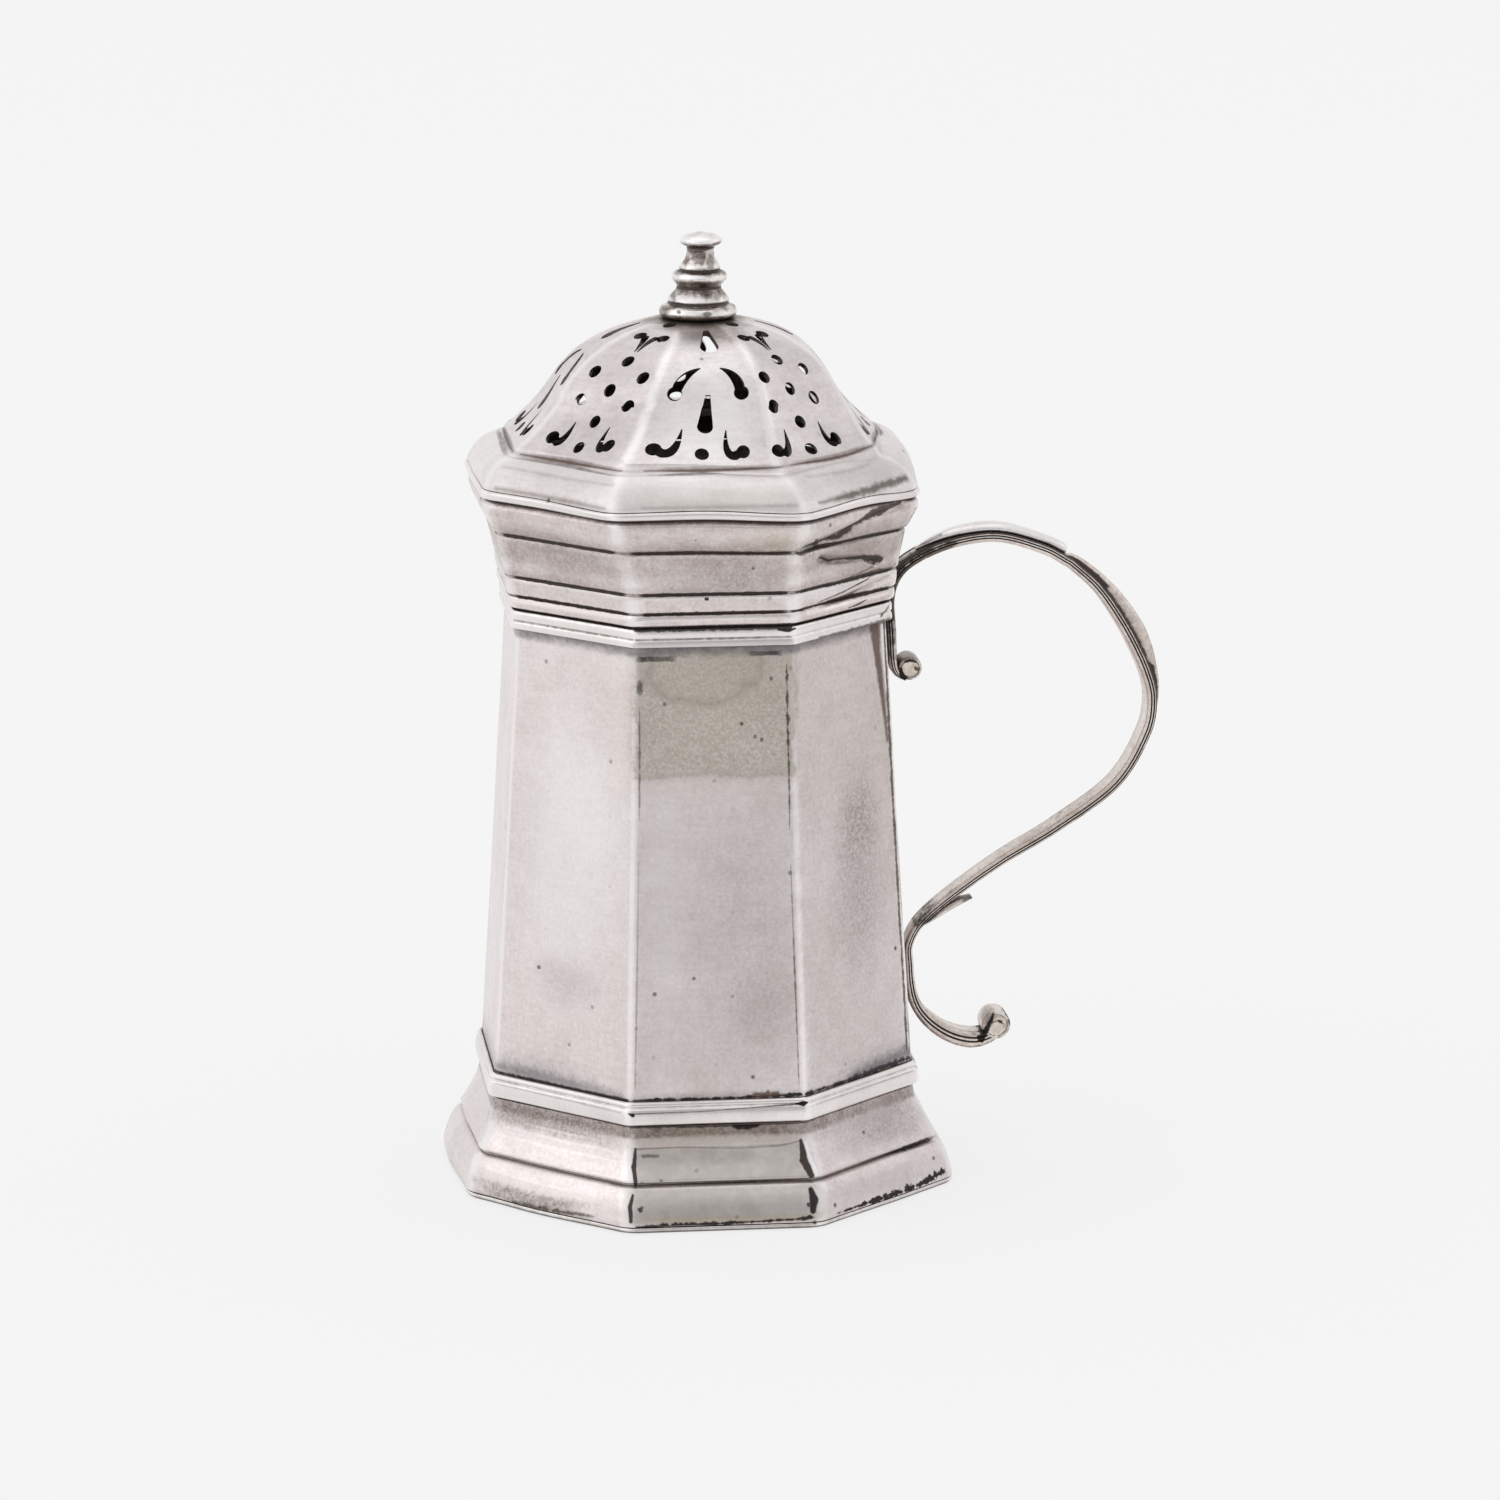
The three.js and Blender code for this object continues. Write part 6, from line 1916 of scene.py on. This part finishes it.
    spur_rows: tuple[Row, ...] = (
        (0.668, 0.5, 0.25, 0), (0.66, 0.85, 0.6, 0), (0.65, 1, 0.9, 0), (0.642, 0.95, 1, 0.12),
        (0.634, 0.8, 0.85, 0.5), (0.628, 0.6, 0.5, 1),
    )
    spur_steps: int = 24
    spur_side_shares: tuple[Point, ...] = ((0.9, 0), (1, 0.4), (0.75, 0.85))
    rider_gap: float = 0.11
    pad_shares: tuple[Point, ...] = ((0, 1.0), (0.35, 0.98), (0.7, 0.86), (0.92, 0.66), (1, 0.45))
    pad_slope: float = 0.34
    pad_steps: int = 32
    pad_power: float = 0.7
    strap_smooth_angle: float = 42.0
    smooth_angle: float = 50.0

    def spot(self, out: float, down: float) -> Vector:
        """A place beside the body, by shares of the handle's reach and drop, in millimetres."""
        across = mix(self.top_x, self.low_x, down) + self.thickness / 2 + self.out_reach * out
        return Vector((across, 0, self.top_height - self.drop * down))

    def station_at(self, along: float) -> tuple[Vector, Vector, list[float]]:
        """The strap's centre, outward direction and sizes at a share of its rows."""
        row = along_rows(self.rows, along)
        ahead, back = [along_rows(self.rows, along + step) for step in (self.probe, -self.probe)]
        way = (self.spot(*ahead[:2]) - self.spot(*back[:2])).normalized()
        return self.spot(*row[:2]), Vector((-way.z, 0, way.x)), row[2:]

    def stations(self) -> list[tuple[Vector, Vector, list[float]]]:
        """Evenly spaced places along the strap: centre, outward direction and sizes."""
        dense = [along_rows(self.rows, step / self.fine_steps) for step in range(self.fine_steps + 1)]
        spots = [self.spot(*row[:2]) for row in dense]
        lengths = [0.0]
        for before, after in zip(spots, spots[1:]):
            lengths.append(lengths[-1] + (after - before).length)
        found = []
        index = 0
        for step in range(self.steps + 1):
            goal = lengths[-1] * step / self.steps
            while index < self.fine_steps - 1 and lengths[index + 1] < goal:
                index += 1
            way = (spots[min(index + 2, self.fine_steps)] - spots[max(index - 1, 0)]).normalized()
            share = (goal - lengths[index]) / (lengths[index + 1] - lengths[index])
            centre = spots[index].lerp(spots[index + 1], share)
            found.append((centre, Vector((-way.z, 0, way.x)), dense[index][2:]))
        return found

    def band_section(self, width: float, thickness: float, rib: float) -> Line:
        """The strap's section: reeded sides, a rib on its outer face and rounded edges."""
        half, skin = width / 2, thickness / 2
        rise = self.rib_height * max(rib, 0)
        rib_half = self.rib_width / 2
        side: Line = [(half * self.back_share, -skin)]
        side += [(half - inset, share * skin) for inset, share in self.lower_edge]
        for low, high in self.reed_shares:
            side += [(half, mix(low, high, share) * skin) for share in self.reed_flat_shares]
            side.append((half - self.groove, high * skin))
        side += [(half - inset, share * skin) for inset, share in self.upper_edge]
        side += [(rib_half + gap, share * skin + dip * rise) for gap, share, dip in self.rib_foot]
        side += [(rib_half * across, skin + rise * up + lift) for across, up, lift in self.rib_side]
        return mirrored(-skin, side, skin + rise + self.rib_crown)

    def rings(self, stations: list, sections: Sequence[Line], axis: Vector) -> list[list[Vector]]:
        """Places a section at each station."""
        found = []
        for (centre, out, _), section in zip(stations, sections):
            ring = [axis + (centre + out * y + Vector((0, x, 0))) * METRES for x, y in section]
            found.append(ring)
        return found

    def roll(self, name: str, radius: float, place: Point, axis: Vector) -> bpy.types.Object:
        """A rolled end across the strap, with a dished face at each side."""
        centre = self.spot(*place)
        half = self.roll_length / 2
        rows = [(size * radius, -half * out) for size, out in self.roll_shares]
        rows += [(size * radius, half * out) for size, out in reversed(self.roll_shares)]
        rings = [[axis + (centre + Vector((x * size, across, z * size))) * METRES
                  for x, z in arc(self.roll_steps)[:-1]] for size, across in rows]
        return loft(name, rings)

    def soil(self, strap: bpy.types.Object, stations: list, axis: Vector) -> None:
        """Stores how dirty the strap is: beside its rib, in its reeds, at its root and in its bends."""
        layer = strap.data.attributes.new("grime", "FLOAT", "POINT")
        skin = self.thickness / 2
        for vertex, value in zip(strap.data.vertices, layer.data):
            spot = (vertex.co - axis) / METRES
            index = min(range(0, len(stations), 2), key=lambda i: (stations[i][0] - spot).length_squared)
            centre, out, (wide, thick, _) = stations[index]
            level = (spot - centre).dot(out) / (skin * thick)
            row = max(i for i, line in enumerate(self.soil_rows) if line[0] <= index / self.steps or i == 0)
            low, high = self.soil_rows[row], self.soil_rows[min(row + 1, len(self.soil_rows) - 1)]
            share = ease(index / self.steps, low[0], max(high[0], low[0] + 0.001))
            outer, side, inner, groove = [mix(a, b, share) for a, b in zip(low[1:], high[1:])]
            across = abs(spot.y) / (self.width * wide / 2)
            beside_rib = self.rib_soil_share < across < self.edge_soil_share and level < self.rib_soil_level
            if level > self.outer_level:
                value.value = outer if beside_rib else outer * self.worn_soil_share
            elif level < self.inner_level:
                value.value = inner
            else:
                value.value = max(side, groove if across < self.reed_soil_share else 0)

    def build(self, shop: Workshop) -> None:
        """Models and dresses the handle's pieces."""
        stations = self.stations()
        sections = [self.band_section(self.width * w, self.thickness * t, r) for _, _, (w, t, r) in stations]
        strap = loft("scroll_strap", self.rings(stations, sections, shop.axis))
        rolls = [self.roll("upper_roll", *self.upper_roll, shop.axis),
                 self.roll("lower_roll", *self.lower_roll, shop.axis)]
        join_cut(strap, rolls, "UNION")
        self.soil(strap, stations, shop.axis)
        shop.dress(strap, shop.finishes.worn, STRAP_MARKS)
        shop.hand_in(strap, "handle_strap", "body", self.strap_smooth_angle)
        leaf = self.rider("thumb_leaf", self.thumb_rows, self.thumb_steps, self.thumb_width,
                          self.thumb_height, self.thumb_side_shares, shop.axis)
        shop.dress(leaf, shop.finishes.rubbed)
        shop.hand_in(leaf, "thumb_rest", "body", self.smooth_angle)
        spur = self.rider("hooked_spur", self.spur_rows, self.spur_steps, self.spur_width,
                          self.spur_thickness, self.spur_side_shares, shop.axis)
        shop.dress(spur, shop.finishes.worn, [
            Patch(FRONT, 34.4, 33.1, 0.8, 0.7, DIRTY, 0.9, 0.8, 0.6, 0.1, 0.8, out=1.2, deep=2.0),
        ])
        shop.hand_in(spur, "handle_spur", "body", self.smooth_angle)
        self.build_pad(shop)

    def rider(self, name: str, rows: Sequence[Row], steps: int, width: float, height: float,
              side_shares: Sequence[Point], axis: Vector) -> bpy.types.Object:
        """Models a solid that lies along the strap's outer face.

        Args:
            name: name of the piece.
            rows: its share along the strap's rows and the shares of its width, height and lift.
            steps: how many lengths it is made of.
            width: its full width in millimetres.
            height: its full height in millimetres.
            side_shares: the right side of its section, by shares of half its width and of its height.
            axis: any point of the body's axis in metres.

        Returns:
            The closed piece.
        """
        places, sections = [], []
        for step in range(steps + 1):
            along, wide, tall, lift = along_rows(rows, step / steps)
            station = self.station_at(along)
            half, rise = width * wide / 2, height * tall
            low = self.thickness * station[2][1] / 2 + self.rider_gap + self.spur_lift * max(lift, 0)
            side = [(half * out, low + rise * up) for out, up in side_shares]
            places.append(station)
            sections.append(mirrored(low, side, low + rise))
        return loft(name, self.rings(places, sections, axis))

    def build_pad(self, shop: Workshop) -> None:
        """Models and dresses the solder pad under the lower bend."""
        low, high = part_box("handle_pad")
        rings = []
        for share, size in self.pad_shares:
            ring = []
            for x, y in arc(self.pad_steps)[:-1]:
                across, up = [0.5 + 0.5 * math.copysign(abs(side) ** self.pad_power, side) * size
                              for side in (x, y)]
                depth = mix(low.x, high.x - self.pad_slope * METRES, share)
                depth += mix(self.pad_slope, 0, up) * METRES
                ring.append(Vector((depth, mix(low.y, high.y, across), mix(low.z, high.z, up))))
            rings.append(ring)
        pad = loft("solder_pad", rings)
        shop.dress(pad, shop.finishes.worn)
        shop.hand_in(pad, "handle_pad", "body", self.smooth_angle)


# The studio


@dataclass
class Studio:
    """A pale floor, a white tent with a darker front, and the camera."""

    azimuth: float = -6.482
    elevation: float = 12.792
    distance: float = 853.3
    lens: float = 165.2
    aim_right: float = 6.9
    aim_height: float = 53.0
    floor_radius: float = 4000.0
    floor_glow: float = 0.75
    floor_tone: float = 0.167
    floor_sides: int = 96
    sky: float = 0.9
    side_fall: float = 0.09
    front_way: Row = (0.05, -1, 0.02)
    front_limits: Point = (0.78, 0.96)
    front_dark: float = 0.56
    sensor: float = 36.0
    sight: float = 50.0
    lamps: tuple[tuple[str, Row, float, float], ...] = (
        ("left_lamp", (-1.3, -0.3, 0.9), 1.2, 1.6),
        ("right_lamp", (1.3, 0.1, 0.8), 1.0, 0.7),
        ("top_lamp", (0.0, 0.25, 1.5), 1.2, 1.2),
    )

    def build(self, shop: Workshop) -> None:
        """Sets up the floor, the light and the camera."""
        self.add_floor(shop)
        self.add_sky()
        self.add_lights(shop)
        self.add_camera(shop)

    def add_floor(self, shop: Workshop) -> None:
        """A wide disc under the dredger."""
        bpy.ops.object.select_all(action="DESELECT")
        bpy.ops.mesh.primitive_circle_add(vertices=self.floor_sides, radius=self.floor_radius * METRES,
                                          fill_type="NGON", location=shop.axis)
        floor = bpy.context.object
        floor.name = "studio_floor"
        material = bpy.data.materials.new("pale_floor")
        graph = fresh_graph(material)
        glow = graph.add("ShaderNodeEmission", {"Color": (1, 1, 1, 1), "Strength": self.floor_glow})
        matt = graph.add("ShaderNodeBsdfDiffuse", {"Color": (*[self.floor_tone] * 3, 1)})
        both = graph.add("ShaderNodeAddShader", {0: glow.outputs[0], 1: matt.outputs[0]})
        graph.add("ShaderNodeOutputMaterial", {0: both.outputs[0]})
        floor.data.materials.append(material)

    def add_sky(self) -> None:
        """White all round, darker low in front, where the photographer stands."""
        world = bpy.data.worlds.new("white_tent")
        bpy.context.scene.world = world
        graph = fresh_graph(world)
        way = graph.add("ShaderNodeTexCoord").outputs["Generated"]
        ahead = Vector(self.front_way).normalized()
        near = graph.add("ShaderNodeVectorMath", {0: way, 1: ahead},
                         operation="DOT_PRODUCT").outputs["Value"]
        dark = graph.step(near, *self.front_limits)
        side = graph.add("ShaderNodeSeparateXYZ", {0: way}).outputs[0]
        level = graph.times_plus(side, -self.side_fall, self.sky)
        level = graph.times(level, graph.times_plus(dark, self.front_dark - 1, 1.0))
        light = graph.add("ShaderNodeBackground", {"Color": (1, 1, 1, 1), "Strength": level})
        graph.add("ShaderNodeOutputWorld", {0: light.outputs[0]})

    def add_lights(self, shop: Workshop) -> None:
        """Large soft lamps left, right and above."""
        for name, place, size, energy in self.lamps:
            lamp = bpy.data.lights.new(name, "AREA")
            lamp.size = size
            lamp.energy = energy
            holder = bpy.data.objects.new(name, lamp)
            holder.location = shop.axis + Vector(place)
            aim = shop.axis + Vector((0, 0, self.aim_height * METRES)) - holder.location
            holder.rotation_euler = aim.to_track_quat("-Z", "Y").to_euler()
            bpy.context.scene.collection.objects.link(holder)

    def add_camera(self, shop: Workshop) -> None:
        """The photograph's viewpoint."""
        turn, rise = math.radians(self.azimuth), math.radians(self.elevation)
        right = Vector((math.cos(turn), math.sin(turn), 0))
        back = Vector((math.sin(turn) * math.cos(rise), -math.cos(turn) * math.cos(rise), math.sin(rise)))
        target = shop.axis + (right * self.aim_right + Vector((0, 0, self.aim_height))) * METRES
        camera = bpy.data.cameras.new("camera")
        camera.lens = self.lens
        camera.sensor_width = self.sensor
        camera.clip_end = self.sight
        holder = bpy.data.objects.new("camera", camera)
        holder.location = target + back * self.distance * METRES
        holder.rotation_euler = back.to_track_quat("Z", "Y").to_euler()
        bpy.context.scene.collection.objects.link(holder)
        bpy.context.scene.camera = holder
        bpy.context.scene.view_settings.view_transform = "Standard"


def dress_frame(frame: dict, shop: Workshop) -> None:
    """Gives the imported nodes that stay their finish."""
    for name in ("base_plate", "neck_sleeve"):
        node = frame["nodes"][name]
        shop.dress(node, shop.finishes.inside)
        log.info("%s keeps its packed shape", name)


def main() -> None:
    """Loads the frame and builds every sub-assembly over it."""
    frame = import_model()
    logging.basicConfig(level=logging.INFO, format="%(message)s")
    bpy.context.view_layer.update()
    low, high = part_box("body_shell")
    axis = Vector(((low.x + high.x) / 2, (low.y + high.y) / 2, 0))
    shop = Workshop(axis, Effects(), Finishes())
    dress_frame(frame, shop)
    for part in (Foot(), Body(), CoverBand(), Cornice(), Dome(), Finial(), Handle(), Studio()):
        part.build(shop)
        log.info("%s is built", type(part).__name__)


if __name__ == "__main__":
    main()
